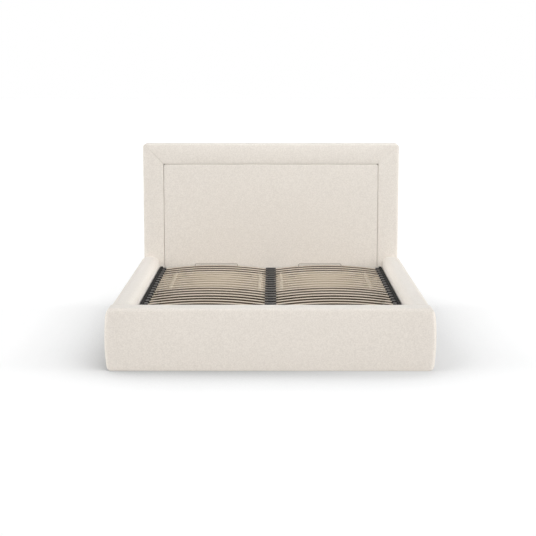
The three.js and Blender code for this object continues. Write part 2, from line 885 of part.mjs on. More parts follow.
function hingePlate() {
  const y = [pivotY + platePivotFromEdge - plateWidth, pivotY + platePivotFromEdge];
  const z = [pivotZ + platePivotFromTop - plateHeight, pivotZ + platePivotFromTop];
  const outer = plateInner + bracketThickness;
  const corners = y.concat(z).fill(plateCornerRadius);
  const plate = alongX(roundedRectangle(y, z, corners), plateInner, outer);
  const holes = y.flatMap((side, i) =>
    z.map((end, j) =>
      crossBar(
        plateHoleRadius,
        plateInner - overrun,
        outer + overrun,
        side + (i ? -plateHoleInset : plateHoleInset),
        end + (j ? -plateHoleInset : plateHoleInset),
      ),
    ),
  );
  const inside = plateInner + bracketThickness / 2;
  const headFace = lugInner - seatGap;
  const eyeInner = strutX - strutEyeWidth / 2 - seatGap;
  return joined([
    without(plate, holes),
    crossBar(pivotPinRadius, headFace - pivotHeadThickness / 2, inside, pivotY, pivotZ),
    crossBar(pivotHeadRadius, headFace - pivotHeadThickness, headFace, pivotY, pivotZ),
    crossBar(strutShoulderRadius, strutShoulder, inside, strutLowY, strutLowZ),
    crossBar(strutPinRadius, eyeInner - strutPinRadius, inside, strutLowY, strutLowZ),
    crossBar(strutNeckRadius, eyeInner - strutPinRadius, eyeInner, strutLowY, strutLowZ),
  ]);
}

function pivotBush() {
  const outline = new THREE.Shape().absarc(pivotY, pivotZ, pivotBushRadius, 0, 2 * Math.PI, false);
  outline.holes.push(
    new THREE.Path().absarc(pivotY, pivotZ, pivotPinRadius + pinClearance, 0, 2 * Math.PI, true),
  );
  return alongX(outline, lugOuter + seatGap, plateInner - seatGap, roundSides / 2);
}

// Gas struts, drawn along +Y from the middle of the lower eye

function strutCylinder() {
  const start = strutEyeRadius + strutShoulderRadius;
  const end = start + strutCylinderLength;
  const rodHole = strutRodRadius + pinClearance;
  const profile = [
    [0, start - strutRodRadius],
    [strutNeckRadius, start - strutRodRadius],
    [strutRadius, start],
    [strutRadius, end],
    [rodHole, end],
    [rodHole, end - strutGuide],
    [strutBore, end - strutGuide],
    [strutBore, start + strutBase],
    [0, start + strutBase],
  ].map(([radius, y]) => new THREE.Vector2(radius, y));
  const half = strutEyeWidth / 2;
  const neck = new THREE.CylinderGeometry(strutNeckRadius, strutNeckRadius, start, roundSides);
  const body = joined([
    solidOf(new THREE.LatheGeometry(profile, roundSides)),
    solidOf(neck.translate(0, start / 2, 0)),
    crossBar(strutEyeRadius, -half, half, 0, 0),
  ]);
  return body.subtract(crossBar(strutPinRadius + pinClearance, -half - overrun, half + overrun, 0, 0));
}

function strutRod() {
  const end = strutClosedLength - strutEyeRadius;
  const start = end - strutRodLength;
  const piston = strutBore - pinClearance;
  const profile = [
    [0, start],
    [piston, start],
    [piston, start + strutPistonLength],
    [strutRodRadius, start + strutPistonLength],
    [strutRodRadius, end - strutShoulderRadius],
    [strutNeckRadius, end - strutShoulderRadius],
    [strutNeckRadius, end + strutEyeRadius / 2],
    [0, end + strutEyeRadius / 2],
  ].map(([radius, y]) => new THREE.Vector2(radius, y));
  const half = strutEyeWidth / 2;
  return joined([
    solidOf(new THREE.LatheGeometry(profile, roundSides)),
    crossBar(strutEyeRadius, -half, half, strutClosedLength, 0),
  ]);
}

function buildStruts() {
  const cylinder = geometryOf(strutCylinder());
  const rod = geometryOf(strutRod());
  return ["left", "right"].map((side) => {
    const strut = new THREE.Group();
    strut.add(mesh(`strut_cylinder_${side}`, cylinder, "cylinder"), mesh(`strut_rod_${side}`, rod, "rod"));
    strut.rotation.x = Math.PI - strutAngle;
    strut.position.set(side === "left" ? -strutX : strutX, strutLowY, strutLowZ);
    return strut;
  });
}

function buildBed() {
  const bed = new THREE.Group();
  bed.name = "storage_bed";
  bed.add(buildHeadboard(), buildRails(), ...buildBrackets(), ...buildFloor(), buildSlatFrame());
  bed.add(...pair((side) => `hinge_plate_${side}`, hingePlate(), "frame"));
  bed.add(...pair((side) => `pivot_bush_${side}`, pivotBush(), "nylon"));
  bed.add(...buildStruts());
  return bed;
}

export default buildBed();
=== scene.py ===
"""An upholstered storage bed in a plain pale studio.

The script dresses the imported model: padded covers over the rails and the headboard, cambered slats in plastic
holders, and the steel frame with its lift hinges and gas struts."""

import json
import math
from itertools import product

import bmesh
import bpy
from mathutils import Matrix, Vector, noise


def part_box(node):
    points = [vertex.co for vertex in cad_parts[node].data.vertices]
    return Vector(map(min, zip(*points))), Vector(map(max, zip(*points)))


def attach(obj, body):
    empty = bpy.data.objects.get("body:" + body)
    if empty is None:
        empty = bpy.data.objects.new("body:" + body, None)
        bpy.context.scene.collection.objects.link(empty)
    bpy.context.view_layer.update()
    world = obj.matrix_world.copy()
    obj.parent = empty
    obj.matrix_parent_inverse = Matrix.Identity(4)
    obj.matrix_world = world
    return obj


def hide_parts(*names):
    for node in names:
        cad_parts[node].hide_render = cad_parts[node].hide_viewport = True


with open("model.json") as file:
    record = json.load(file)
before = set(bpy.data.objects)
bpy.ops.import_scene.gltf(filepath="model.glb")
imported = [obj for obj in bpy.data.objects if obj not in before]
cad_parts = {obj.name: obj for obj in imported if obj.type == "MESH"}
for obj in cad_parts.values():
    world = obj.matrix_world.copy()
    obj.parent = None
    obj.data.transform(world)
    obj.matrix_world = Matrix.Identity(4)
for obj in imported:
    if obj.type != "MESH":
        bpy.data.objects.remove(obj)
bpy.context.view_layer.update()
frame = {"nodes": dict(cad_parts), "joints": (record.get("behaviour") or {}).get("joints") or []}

mm = 0.001
X, Y, Z = 0, 1, 2

# Camera
CAMERA_PLACE = (0.014, -9.01, 1.757)
CAMERA_TILT = math.radians(81.66)
CAMERA_TURN = math.radians(0.198)
CAMERA_LENS = 93.4

# Studio
FLOOR_HALF = 60
SKY_STRENGTH = 0.28
SUNS = {  # turn from straight down in degrees, strength, spread in degrees
    "front": ((65, 0, 4), 2.17, 80),
    "left_side": ((0, -80, 0), 1.9, 30),
    "right_side": ((0, 80, 0), 2.2, 30),
}
PANELS = {  # place, what it lights, size, power, colour
    "overhead_panel": ((0.3, -0.3, 2.6), (0.1, -0.2, 0.3), 1.6, 11.5, (0.80, 0.92, 1.0)),
}
FLOOR_SEEN = 1.05  # its tone for the camera
FLOOR_GLOW = 0.6  # share of what is seen of the floor that no lamp changes
FLOOR_BOUNCE = 0.55  # its tone for the light that it throws up at the bed
# The floor's contact shadow is painted shade: occlusion within this reach darkens what is seen of the floor, and
# the fades lift it by place.
SHADOW_REACH = 0.7
SHADOW_DEPTH = 0.43  # the tone that is left at its darkest
SHADOW_OPENNESS = (0.5, 1.0)  # between the darkest contact and open floor
SHADOW_SAMPLES = 12
SHADOW_FADES = ("Y", 0.8, 1.6, 0.0, 0.85), ("X", -0.9, 1.1, 0.4, 0.74)  # along what, from, to, least, most

# Colours
COVER_TONES = (0.70, 0.646, 0.585, 1), (0.79, 0.735, 0.671, 1)
SLAT_TONES = (0.725, 0.62, 0.50, 1), (0.625, 0.522, 0.41, 1)
# The single slats' ply tones are far darker than the wood: painted shade on their long edges, over the plies.
SLAT_PLY_SHADE_TONES = (0.12, 0.086, 0.056, 1), (0.07, 0.048, 0.03, 1)
LUMBAR_PLY_TONES = (0.58, 0.49, 0.375, 1), (0.47, 0.38, 0.28, 1)
SOFTWOOD_TONES = (0.62, 0.47, 0.31, 1), (0.47, 0.33, 0.20, 1)
HARDBOARD_TONES = (0.20, 0.125, 0.075, 1), (0.15, 0.09, 0.052, 1)
HOUSE_DUST = (0.16, 0.15, 0.14, 1)
CHARCOAL = (0.008, 0.008, 0.0085)
WORN_COAT = (0.10, 0.10, 0.10)
ZINC = (0.42, 0.43, 0.45)
CHROME = (0.6, 0.61, 0.63)
BARE_STEEL = (0.6, 0.6, 0.6)

# Patterns of the materials
YARN_WIDTH = 3.2 * mm
YARN_RELIEF = 1.1 * mm
GRAIN_ALONG_X = (1.0, 1.0, 1.0)
HARDBOARD_GRAIN = (0.5, 0.05, 1.0)
SLUB_SCALE = 60.0
FUZZ_SCALE = 900.0
FLECK_SCALE = 130.0
PATCH_SCALE = 40.0
GRIT_SCALE = 1600.0
CLOUD_SCALE = 26.0
RUB_SCALE = 90.0
FIGURE_SCALES = (3.0, 40.0, 30.0)
FIBRE_SCALES = (14.0, 700.0, 500.0)
PORE_SCALES = (60.0, 1500.0, 1200.0)
SLAT_PLIES = 7
GRIT_RELIEF = 0.3 * mm

# Padded covers. The radii of the edges along an axis are given by the sides of the other two axes that they join.
# An edge with two radii is a quarter of an ellipse.
COVER_PITCH = 24 * mm  # of the grid that swells
ROUND_STEPS = 6  # across a rounded edge
LEAST_CUT = 1.4 * mm  # between two cuts of a cover
COVER_BOTTOM = 0.6 * mm
RAIL_CROWN = 7.5 * mm
FOOT_END_INSET = 5 * mm
FOOT_END_SWELL = 12 * mm
SIDE_RAIL_EDGES = {
    X: ((5 * mm, 5 * mm), (5 * mm, 5 * mm)),
    Y: ((2 * mm, (52 * mm, 60 * mm)), (14 * mm, 52 * mm)),
    Z: ((5 * mm, 5 * mm), (5 * mm, 5 * mm)),
}
FOOT_RAIL_EDGES = {
    X: ((4 * mm, 22 * mm), (2 * mm, 10 * mm)),
    Y: (((34 * mm, 28 * mm), (28 * mm, 58 * mm)), ((34 * mm, 28 * mm), (28 * mm, 58 * mm))),
    Z: ((24 * mm, 10 * mm), (24 * mm, 10 * mm)),
}
BORDER_WIDTH = 148 * mm
BORDER_SIDE_EDGES = {
    X: ((2 * mm, 14 * mm), (2 * mm, 22 * mm)),
    Y: ((2 * mm, 2 * mm), (2 * mm, 30 * mm)),
    Z: ((6 * mm, 2 * mm), (14 * mm, 22 * mm)),
}
BORDER_TOP_EDGES = {
    X: ((6 * mm, 14 * mm), (2 * mm, 22 * mm)),
    Y: ((2 * mm, 30 * mm), (2 * mm, 30 * mm)),
    Z: ((14 * mm, 22 * mm), (14 * mm, 22 * mm)),
}
PANEL_EDGES = {
    X: ((6 * mm, 6 * mm), (2 * mm, 2 * mm)),
    Y: ((14 * mm, 14 * mm), (14 * mm, 14 * mm)),
    Z: ((6 * mm, 2 * mm), (6 * mm, 2 * mm)),
}
BACK_EDGES = dict.fromkeys((X, Y, Z), ((3 * mm, 3 * mm), (3 * mm, 3 * mm)))
COVER_SMOOTH = 60  # degrees, past which an edge of a cover is sharp
UNEVEN_DEPTH = 0.7 * mm
UNEVEN_SCALE = 6.0
MITRE_SEAM_DEPTH = 0.4 * mm
MITRE_GAP = 0.4 * mm
SEAM_WIDTH = 4 * mm
SEAM_CUTS = (-1, -0.6, -0.3, 0, 0.3, 0.6, 1)  # in seam widths
CLOTH_FRAMES = 20
CLOTH_PRESSURE = 4
CLOTH_CAP = 4 * mm
CLOTH_FREE = 0.75  # how squarely a point faces a way in which it may swell

# Slats and their holders
ROWS = 20
SLAT_WIDTH = 38 * mm
SLAT_THICKNESS = 7 * mm
SLAT_RISE = 29 * mm
SLAT_TOP = 309 * mm
SLAT_ENDS = (14 * mm, 780 * mm)
SLAT_EDGE = 2 * mm
SLAT_PITCH = 32 * mm  # of the cuts that let a slat bend
DOUBLED_ROWS = range(4, 11)
DOUBLED_ENDS = (49 * mm, 687 * mm)
DOUBLED_GAP = 1 * mm
DOUBLED_RISE = 5 * mm
CLIP_INSET = 24 * mm
CLIP_LENGTH = 20 * mm
CLIP_WALL = 2 * mm
CLIP_EDGE = 1.2 * mm
HOLDER_TOP = 290 * mm
HOLDER_WALL = 5 * mm
HOLDER_EDGE = 1.6 * mm
HOLDER_NOSE = 4 * mm
HOLDER_BITE = 0.5 * mm  # into the tube
MOUTH_DEPTH = 7 * mm
SIDE_HOLDER = (760 * mm, 785 * mm)
SIDE_HOLDER_BOTTOM = 268 * mm
CENTRE_HOLDER_HALF = 36.5 * mm
CENTRE_HOLDER_BOTTOM = 268.3 * mm
CENTRE_RIB_HALF = 5.5 * mm

# Steel frame
TUBE_WALL = 2 * mm
TUBE_RADIUS = 3 * mm
SIDE_TUBE_X = (785 * mm, 805 * mm)
SIDE_TUBE_Z = (248 * mm, 298 * mm)
HOOP_WIRE = 5 * mm
HOOP_BEND = 7 * mm
HOOP_LEAN = 9 * mm  # of each leg, over its height
HOOP_BEND_STEPS = 8

# Lift hinges
LUG_X = (797 * mm, 801 * mm)
LUG_RADIUS = 15 * mm
STRUT_LUG_RADIUS = 12 * mm
STUD_START = 795 * mm
STUD_RADIUS = 7 * mm
PLATE_X = (806.7 * mm, 809.7 * mm)
PLATE_Y = (746.25 * mm, 886.25 * mm)
PLATE_Z = (60 * mm, 262 * mm)
PLATE_CORNER = 24 * mm
PLATE_EDGE = 0.5 * mm
BOLT_INSET = 18 * mm
BOLT_HEAD = ((0, 0), (3.2, 0), (3.2, 3.4), (2.6, 4.6), (0.4, 6.4), (0, 6.6), (0, 0))
PIN_RADIUS = 5 * mm
PIN_PAST_LUG = 2 * mm
HEAD_OFF_LUG = 0.3 * mm
PIN_HEAD = ((5.2, 0), (5.2, 6.5), (4.4, 8.2), (3.2, 9), (0.4, 9), (0, 8.4), (0, 0))
BUSH_RADII = (5.35 * mm, 12 * mm)

# Gas struts, measured along the strut from the middle of the lower eye
STRUT_CLOSED = 471.57 * mm
EYE_RADII = (4.3 * mm, 9 * mm)
EYE_HALF = 6.9 * mm
EYE_PLAY = 0.3 * mm
ROD_EYE_CORE = (4.1 * mm, 6.4 * mm)  # radius and half length of the steel inside the rod's eye
EYE_CAP = (6 * mm, 4 * mm)  # radius and thickness, on the end of the lower pin
EYE_NECK = (6 * mm, 8 * mm, 16 * mm)  # radius, start and end
CYLINDER_PROFILE = (
    (12, 0), (12, 6), (16, 8.5), (18.5, 11), (326, 11), (327.2, 10.2), (328.8, 10.2), (330, 11),
    (334.4, 11), (335.7, 10.3), (336, 9.4), (336, 4.35), (322, 4.35), (322, 9), (26, 9), (26, 0),
)  # fmt: skip
ROD_PROFILE = (
    (190.6, 0), (190.6, 8), (191.4, 8.65), (203.8, 8.65), (204.6, 8), (204.6, 4), (455.2, 4), (455.6, 5),
    (456.4, 6), (463, 6), (464.5, 5.2), (464.5, 0),
)  # fmt: skip


# Base. The buffer's dome is given by places up its height and radii, as shares of each.
BROKEN_EDGE = 0.6 * mm
BATTEN_EDGE = 1.2 * mm
BEAM_EDGE = 1.5 * mm
HARD_EDGE = 30  # degrees, past which an edge of a rigid piece is broken
BUFFER_DOME = (0.62, 1), (0.8, 0.93), (0.93, 0.76), (1, 0.45), (1, 0)


# Small helpers


def vector(axis, value=1.0):
    made = Vector()
    made[axis] = value
    return made


def block(low, high):
    bm = bmesh.new()
    bm.faces.layers.float.new("edge")
    low, high = Vector(low), Vector(high)
    bmesh.ops.create_cube(bm, size=1)
    bmesh.ops.scale(bm, vec=high - low, verts=bm.verts)
    bmesh.ops.translate(bm, vec=(low + high) / 2, verts=bm.verts)
    return bm


def cut_across(bm, plane, normal, **clear):
    """Cuts a shape along a plane, and clears one side of it where that is asked."""
    everything = bm.verts[:] + bm.edges[:] + bm.faces[:]
    return bmesh.ops.bisect_plane(bm, geom=everything, plane_co=plane, plane_no=normal, dist=1e-6, **clear)


def cut_at(bm, axis, places):
    for place in places:
        cut_across(bm, vector(axis, place), vector(axis))


def even_places(low, high, pitch):
    """Places between two ends, evenly spread at about a pitch."""
    count = max(1, round((high - low) / pitch))
    return [low + (high - low) * step / count for step in range(1, count)]


def edges_along(bm, axis, test=lambda middle: True):
    """The straight edges along an axis whose middle passes a test."""
    chosen = []
    for edge in bm.edges:
        run = edge.verts[1].co - edge.verts[0].co
        if abs(run[axis]) > 0.999 * run.length and test((edge.verts[0].co + edge.verts[1].co) / 2):
            chosen.append(edge)
    return chosen


def bevelled(bm, edges, radius, segments):
    """Rounds edges, and sets the edge attribute of the faces that this makes."""
    made = bmesh.ops.bevel(
        bm,
        geom=edges,
        offset=radius,
        offset_type="OFFSET",
        segments=segments,
        profile=0.5,
        affect="EDGES",
        material=-1,
    )
    edge = bm.faces.layers.float["edge"]
    for face in made["faces"]:
        face[edge] = 1.0


def turned(profile, centre, axis, steps=24, unit=mm):
    """A round piece: a profile of places along an axis and radii, spun about the axis through a centre."""
    bm = bmesh.new()
    bm.faces.layers.float.new("edge")
    centre, axis = Vector(centre), Vector(axis).normalized()
    side = axis.orthogonal().normalized()
    line = [bm.verts.new(centre + (axis * along + side * radius) * unit) for along, radius in profile]
    run = [bm.edges.new(ends) for ends in zip(line, line[1:])]
    bmesh.ops.spin(bm, geom=line + run, cent=centre, axis=axis, angle=2 * math.pi, steps=steps, use_merge=True)
    bmesh.ops.remove_doubles(bm, verts=bm.verts, dist=0.001 * mm)
    bmesh.ops.recalc_face_normals(bm, faces=bm.faces)
    return bm


def bar(radius, start, end, chamfer=0.6 * mm):
    """A round bar between two points, with chamfered ends."""
    start, end = Vector(start), Vector(end)
    length = (end - start).length
    profile = (
        (0, 0), (0, radius - chamfer), (chamfer, radius),
        (length - chamfer, radius), (length, radius - chamfer), (length, 0),
    )  # fmt: skip
    return turned(profile, start, end - start, unit=1)


def ring(radii, start, end, chamfer=0.5 * mm):
    """A round bar with a hole through it."""
    start, end = Vector(start), Vector(end)
    length = (end - start).length
    hole, outer = radii
    profile = (
        (0, hole), (0, outer - chamfer), (chamfer, outer),
        (length - chamfer, outer), (length, outer - chamfer), (length, hole), (0, hole),
    )  # fmt: skip
    return turned(profile, start, end - start, unit=1)


def joined(parts):
    """Several shapes in one mesh. Each keeps the material index given with it."""
    whole = bmesh.new()
    for part, index in parts:
        for face in part.faces:
            face.material_index = index
        mesh = bpy.data.meshes.new("part")
        part.to_mesh(mesh)
        part.free()
        whole.from_mesh(mesh)
        bpy.data.meshes.remove(mesh)
    return whole


def mirrored(bm):
    """The same shape on the other side of the bed."""
    copy = bm.copy()
    bmesh.ops.scale(copy, vec=(-1, 1, 1), verts=copy.verts)
    bmesh.ops.reverse_faces(copy, faces=copy.faces)
    return copy


def piece(name, bm, body, materials, replaces=(), smooth=35):
    """Makes a shape an object of the scene that rides on a body of the bed."""
    mesh = bpy.data.meshes.new(name)
    bm.to_mesh(mesh)
    bm.free()
    made = bpy.data.objects.new(name, mesh)
    bpy.context.scene.collection.objects.link(made)
    for material in materials:
        mesh.materials.append(material)
    mesh.shade_smooth()
    mesh.set_sharp_from_angle(angle=math.radians(smooth))
    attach(made, body)
    if replaces:
        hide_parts(*replaces)
    return made


# Camera and studio


def set_camera():
    camera = bpy.data.objects.new("camera", bpy.data.cameras.new("camera"))
    camera.location = CAMERA_PLACE
    camera.rotation_euler = (CAMERA_TILT, 0, CAMERA_TURN)
    camera.data.lens = CAMERA_LENS
    bpy.context.scene.collection.objects.link(camera)
    bpy.context.scene.camera = camera


def hang_lamp(name, kind, strength):
    lamp = bpy.data.lights.new(name, kind)
    lamp.energy = strength
    holder = bpy.data.objects.new(name, lamp)
    bpy.context.scene.collection.objects.link(holder)
    return lamp, holder


def light_studio():
    bpy.context.scene.view_settings.view_transform = "Standard"
    for name, (turn, strength, spread) in SUNS.items():
        lamp, holder = hang_lamp(name, "SUN", strength)
        lamp.angle = math.radians(spread)
        holder.rotation_euler = [math.radians(part) for part in turn]
    for name, (place, target, size, power, colour) in PANELS.items():
        lamp, holder = hang_lamp(name, "AREA", power)
        lamp.size = size
        lamp.color = colour
        holder.location = place
        holder.rotation_euler = (Vector(place) - Vector(target)).to_track_quat("Z", "Y").to_euler()

    world = bpy.data.worlds.new("studio")
    world.use_nodes = True
    bpy.context.scene.world = world
    tree = world.node_tree
    tree.nodes.clear()
    strength = ranged(tree, background_rays(tree), 0.0, 1.0, SKY_STRENGTH, 1.0)
    background = add(tree, "Background", {"Color": (1, 1, 1, 1), "Strength": strength})
    add(tree, "OutputWorld", {"Surface": background.outputs[0]})


def lay_floor():
    bm = bmesh.new()
    bmesh.ops.create_grid(bm, x_segments=1, y_segments=1, size=FLOOR_HALF)
    mesh = bpy.data.meshes.new("floor")
    bm.to_mesh(mesh)
    bm.free()
    floor = bpy.data.objects.new("floor", mesh)
    bpy.context.scene.collection.objects.link(floor)
    mesh.materials.append(floor_material())


# Shader nodes


def feed(tree, socket, value):
    if isinstance(value, bpy.types.NodeSocket):
        tree.links.new(value, socket)
    else:
        socket.default_value = value


def add(tree, kind, inputs=None, **settings):
    node = tree.nodes.new("ShaderNode" + kind)
    for name, value in settings.items():
        setattr(node, name, value)
    for name, value in (inputs or {}).items():
        feed(tree, node.inputs[name], value)
    return node


def maths(tree, operation, *values):
    node = add(tree, "Math", operation=operation)
    for socket, value in zip(node.inputs, values):
        feed(tree, socket, value)
    return node.outputs[0]


def vector_maths(tree, operation, *values):
    node = add(tree, "VectorMath", operation=operation)
    for socket, value in zip(node.inputs, values):
        feed(tree, socket, value)
    return node.outputs["Value" if operation == "DOT_PRODUCT" else "Vector"]


def scaled(tree, place, factor):
    node = add(tree, "VectorMath", operation="SCALE")
    feed(tree, node.inputs[0], place)
    feed(tree, node.inputs["Scale"], factor)
    return node.outputs["Vector"]


def mixed(tree, factor, first, second):
    """A mix of two colours. The Mix node keeps its colour sockets at places 6, 7 and 2."""
    node = add(tree, "Mix", data_type="RGBA")
    feed(tree, node.inputs[0], factor)
    feed(tree, node.inputs[6], first)
    feed(tree, node.inputs[7], second)
    return node.outputs[2]


def ranged(tree, value, low, high, to_low=0.0, to_high=1.0):
    inputs = {"Value": value, "From Min": low, "From Max": high, "To Min": to_low, "To Max": to_high}
    return add(tree, "MapRange", inputs).outputs["Result"]


def cloudy(tree, place, scale, detail=2.0, roughness=0.5):
    inputs = {"Vector": place, "Scale": scale, "Detail": detail, "Roughness": roughness}
    return add(tree, "TexNoise", inputs).outputs["Fac"]


def background_rays(tree):
    """1 on rays by which the camera sees the background, also in metal, and 0 on those that light the bed."""
    rays = add(tree, "LightPath").outputs
    seen = maths(tree, "MAXIMUM", rays["Is Camera Ray"], rays["Is Glossy Ray"])
    return maths(tree, "MAXIMUM", seen, rays["Is Transmission Ray"])


def new_group(name, inputs, outputs):
    tree = bpy.data.node_groups.new(name, "ShaderNodeTree")
    for label, value in inputs.items():
        kind = "NodeSocketVector" if isinstance(value, tuple) else "NodeSocketFloat"
        tree.interface.new_socket(label, in_out="INPUT", socket_type=kind).default_value = value
    for label in outputs:
        tree.interface.new_socket(label, in_out="OUTPUT", socket_type="NodeSocketFloat")
    return tree, tree.nodes.new("NodeGroupInput").outputs, tree.nodes.new("NodeGroupOutput").inputs


def place_group(tree, group, **values):
    node = tree.nodes.new("ShaderNodeGroup")
    node.node_tree = group
    for name, value in values.items():
        feed(tree, node.inputs[name], value)
    return node.outputs


def weave_group():
    """Yarns that cross on every face, with fuzz on them, and slow changes of their tone."""
    tree, given, result = new_group("weave", {"Yarn": 0.003, "Slub": 0.0012}, ("Height", "Tone"))
    coordinates = add(tree, "TexCoord").outputs
    place = coordinates["Object"]
    wander = add(tree, "TexNoise", {"Vector": place, "Scale": SLUB_SCALE, "Detail": 1.0}).outputs["Color"]
    place_on_yarn = vector_maths(tree, "ADD", place, scaled(tree, wander, given["Slub"]))
    turns = scaled(tree, place_on_yarn, maths(tree, "DIVIDE", math.pi, given["Yarn"]))
    along = add(tree, "SeparateXYZ", {"Vector": vector_maths(tree, "SINE", turns)}).outputs
    crossed = {}
    for axis, (one, two) in {"X": "YZ", "Y": "XZ", "Z": "XY"}.items():
        crossed[axis] = maths(tree, "MULTIPLY", along[one], along[two])
    crossings = add(tree, "CombineXYZ", crossed).outputs["Vector"]
    facing = vector_maths(tree, "MULTIPLY", coordinates["Normal"], coordinates["Normal"])
    yarns = vector_maths(tree, "DOT_PRODUCT", crossings, facing)
    fuzz = cloudy(tree, place, FUZZ_SCALE)
    feed(tree, result["Height"], maths(tree, "MULTIPLY_ADD", yarns, 0.3, maths(tree, "MULTIPLY", fuzz, 0.9)))
    flecks = cloudy(tree, place, FLECK_SCALE, roughness=0.6)
    patches = cloudy(tree, place, PATCH_SCALE)
    tone = maths(tree, "MULTIPLY_ADD", flecks, 0.8, maths(tree, "MULTIPLY", patches, 0.2))
    feed(tree, result["Tone"], ranged(tree, tone, 0.36, 0.64))
    return tree


def grain_group():
    """Wood grain along X: long figure, fine fibres and small pores."""
    tree, given, result = new_group("grain", {"Stretch": (1.0, 1.0, 1.0)}, ("Figure", "Fibre", "Pore"))
    place = vector_maths(tree, "MULTIPLY", add(tree, "TexCoord").outputs["Object"], given["Stretch"])
    figure = cloudy(tree, vector_maths(tree, "MULTIPLY", place, FIGURE_SCALES), 1.0, detail=3.0)
    fibre = cloudy(tree, vector_maths(tree, "MULTIPLY", place, FIBRE_SCALES), 1.0, detail=3.0)
    pores = cloudy(tree, vector_maths(tree, "MULTIPLY", place, PORE_SCALES), 1.0, detail=1.0)
    feed(tree, result["Figure"], ranged(tree, figure, 0.3, 0.7))
    feed(tree, result["Fibre"], ranged(tree, fibre, 0.25, 0.75))
    feed(tree, result["Pore"], ranged(tree, pores, 0.62, 0.7))
    return tree


def grit_group():
    """The fine grit of powder coat, moulded plastic and plate, with dust that settles on what faces up."""
    tree, given, result = new_group("grit", {"Size": 1.0}, ("Height", "Cloud", "Dust"))
    coordinates = add(tree, "TexCoord").outputs
    place = coordinates["Object"]
    fineness = maths(tree, "DIVIDE", GRIT_SCALE, given["Size"])
    feed(tree, result["Height"], cloudy(tree, place, fineness, detail=1.0))
    cloud = cloudy(tree, place, CLOUD_SCALE, detail=3.0)
    feed(tree, result["Cloud"], ranged(tree, cloud, 0.3, 0.7))
    up = add(tree, "SeparateXYZ", {"Vector": coordinates["Normal"]}).outputs["Z"]
    settled = maths(tree, "MULTIPLY", ranged(tree, up, 0.3, 0.95), ranged(tree, cloud, 0.35, 0.75))
    feed(tree, result["Dust"], settled)
    return tree


def wear_group():
    """Rubbed edges: where a face's edge attribute is set, broken up by noise."""
    tree, given, result = new_group("wear", {"Amount": 0.5}, ("Mask",))
    edge = add(tree, "Attribute", attribute_name="edge").outputs["Fac"]
    place = add(tree, "TexCoord").outputs["Object"]
    patches = cloudy(tree, place, RUB_SCALE, detail=4.0, roughness=0.65)
    threshold = maths(tree, "SUBTRACT", 0.75, maths(tree, "MULTIPLY", given["Amount"], 0.4))
    rubbed = maths(tree, "GREATER_THAN", patches, threshold)
    feed(tree, result["Mask"], maths(tree, "MULTIPLY", edge, rubbed))
    return tree


def new_material(name, **values):
    """A material whose uniform values sit on the shader's own sockets."""
    material = bpy.data.materials.new(name)
    material.use_nodes = True
    tree = material.node_tree
    shader = next(node for node in tree.nodes if node.type == "BSDF_PRINCIPLED").inputs
    for label, value in values.items():
        shader[label.replace("_", " ")].default_value = value
    return material, tree, shader


def floor_material():
    """White where it is seen, with a painted contact shadow in its seen colour and glow, and greyer where it
    lights the bed from below.
    """
    material, tree, shader = new_material("studio_floor", Roughness=0.9)
    # Painted shadow: occlusion darkens the seen tone and glow, lifted by the fades along Y and X.
    close = add(tree, "AmbientOcclusion", {"Distance": SHADOW_REACH}, samples=SHADOW_SAMPLES).outputs["AO"]
    place = add(tree, "SeparateXYZ", {"Vector": add(tree, "TexCoord").outputs["Object"]}).outputs
    for axis, low, high, least, most in SHADOW_FADES:
        close = maths(tree, "MAXIMUM", close, ranged(tree, place[axis], low, high, least, most))
    seen = ranged(tree, close, *SHADOW_OPENNESS, SHADOW_DEPTH * FLOOR_SEEN, FLOOR_SEEN)
    rays = background_rays(tree)
    tone = ranged(tree, rays, 0.0, 1.0, FLOOR_BOUNCE, maths(tree, "MULTIPLY", seen, 1 - FLOOR_GLOW))
    for socket, value in (("Base Color", tone), ("Emission Color", seen)):
        grey = add(tree, "CombineColor", dict.fromkeys(("Red", "Green", "Blue"), value))
        feed(tree, shader[socket], grey.outputs[0])
    feed(tree, shader["Emission Strength"], maths(tree, "MULTIPLY", rays, FLOOR_GLOW))
    return material


def bumped(tree, shader, height, distance, strength):
    bump = add(tree, "Bump", {"Height": height, "Distance": distance, "Strength": strength})
    feed(tree, shader["Normal"], bump.outputs["Normal"])


def upholstery_material():
    """Off-white woven cover with a soft sheen."""
    material, tree, shader = new_material("upholstery", Sheen_Weight=0.2, Sheen_Roughness=0.45)
    cloth = place_group(tree, groups["weave"], Yarn=YARN_WIDTH)
    feed(tree, shader["Base Color"], mixed(tree, cloth["Tone"], *COVER_TONES))
    feed(tree, shader["Roughness"], ranged(tree, cloth["Height"], 0.0, 1.0, 1.0, 0.88))
    bumped(tree, shader, cloth["Height"], YARN_RELIEF, 0.7)
    return material


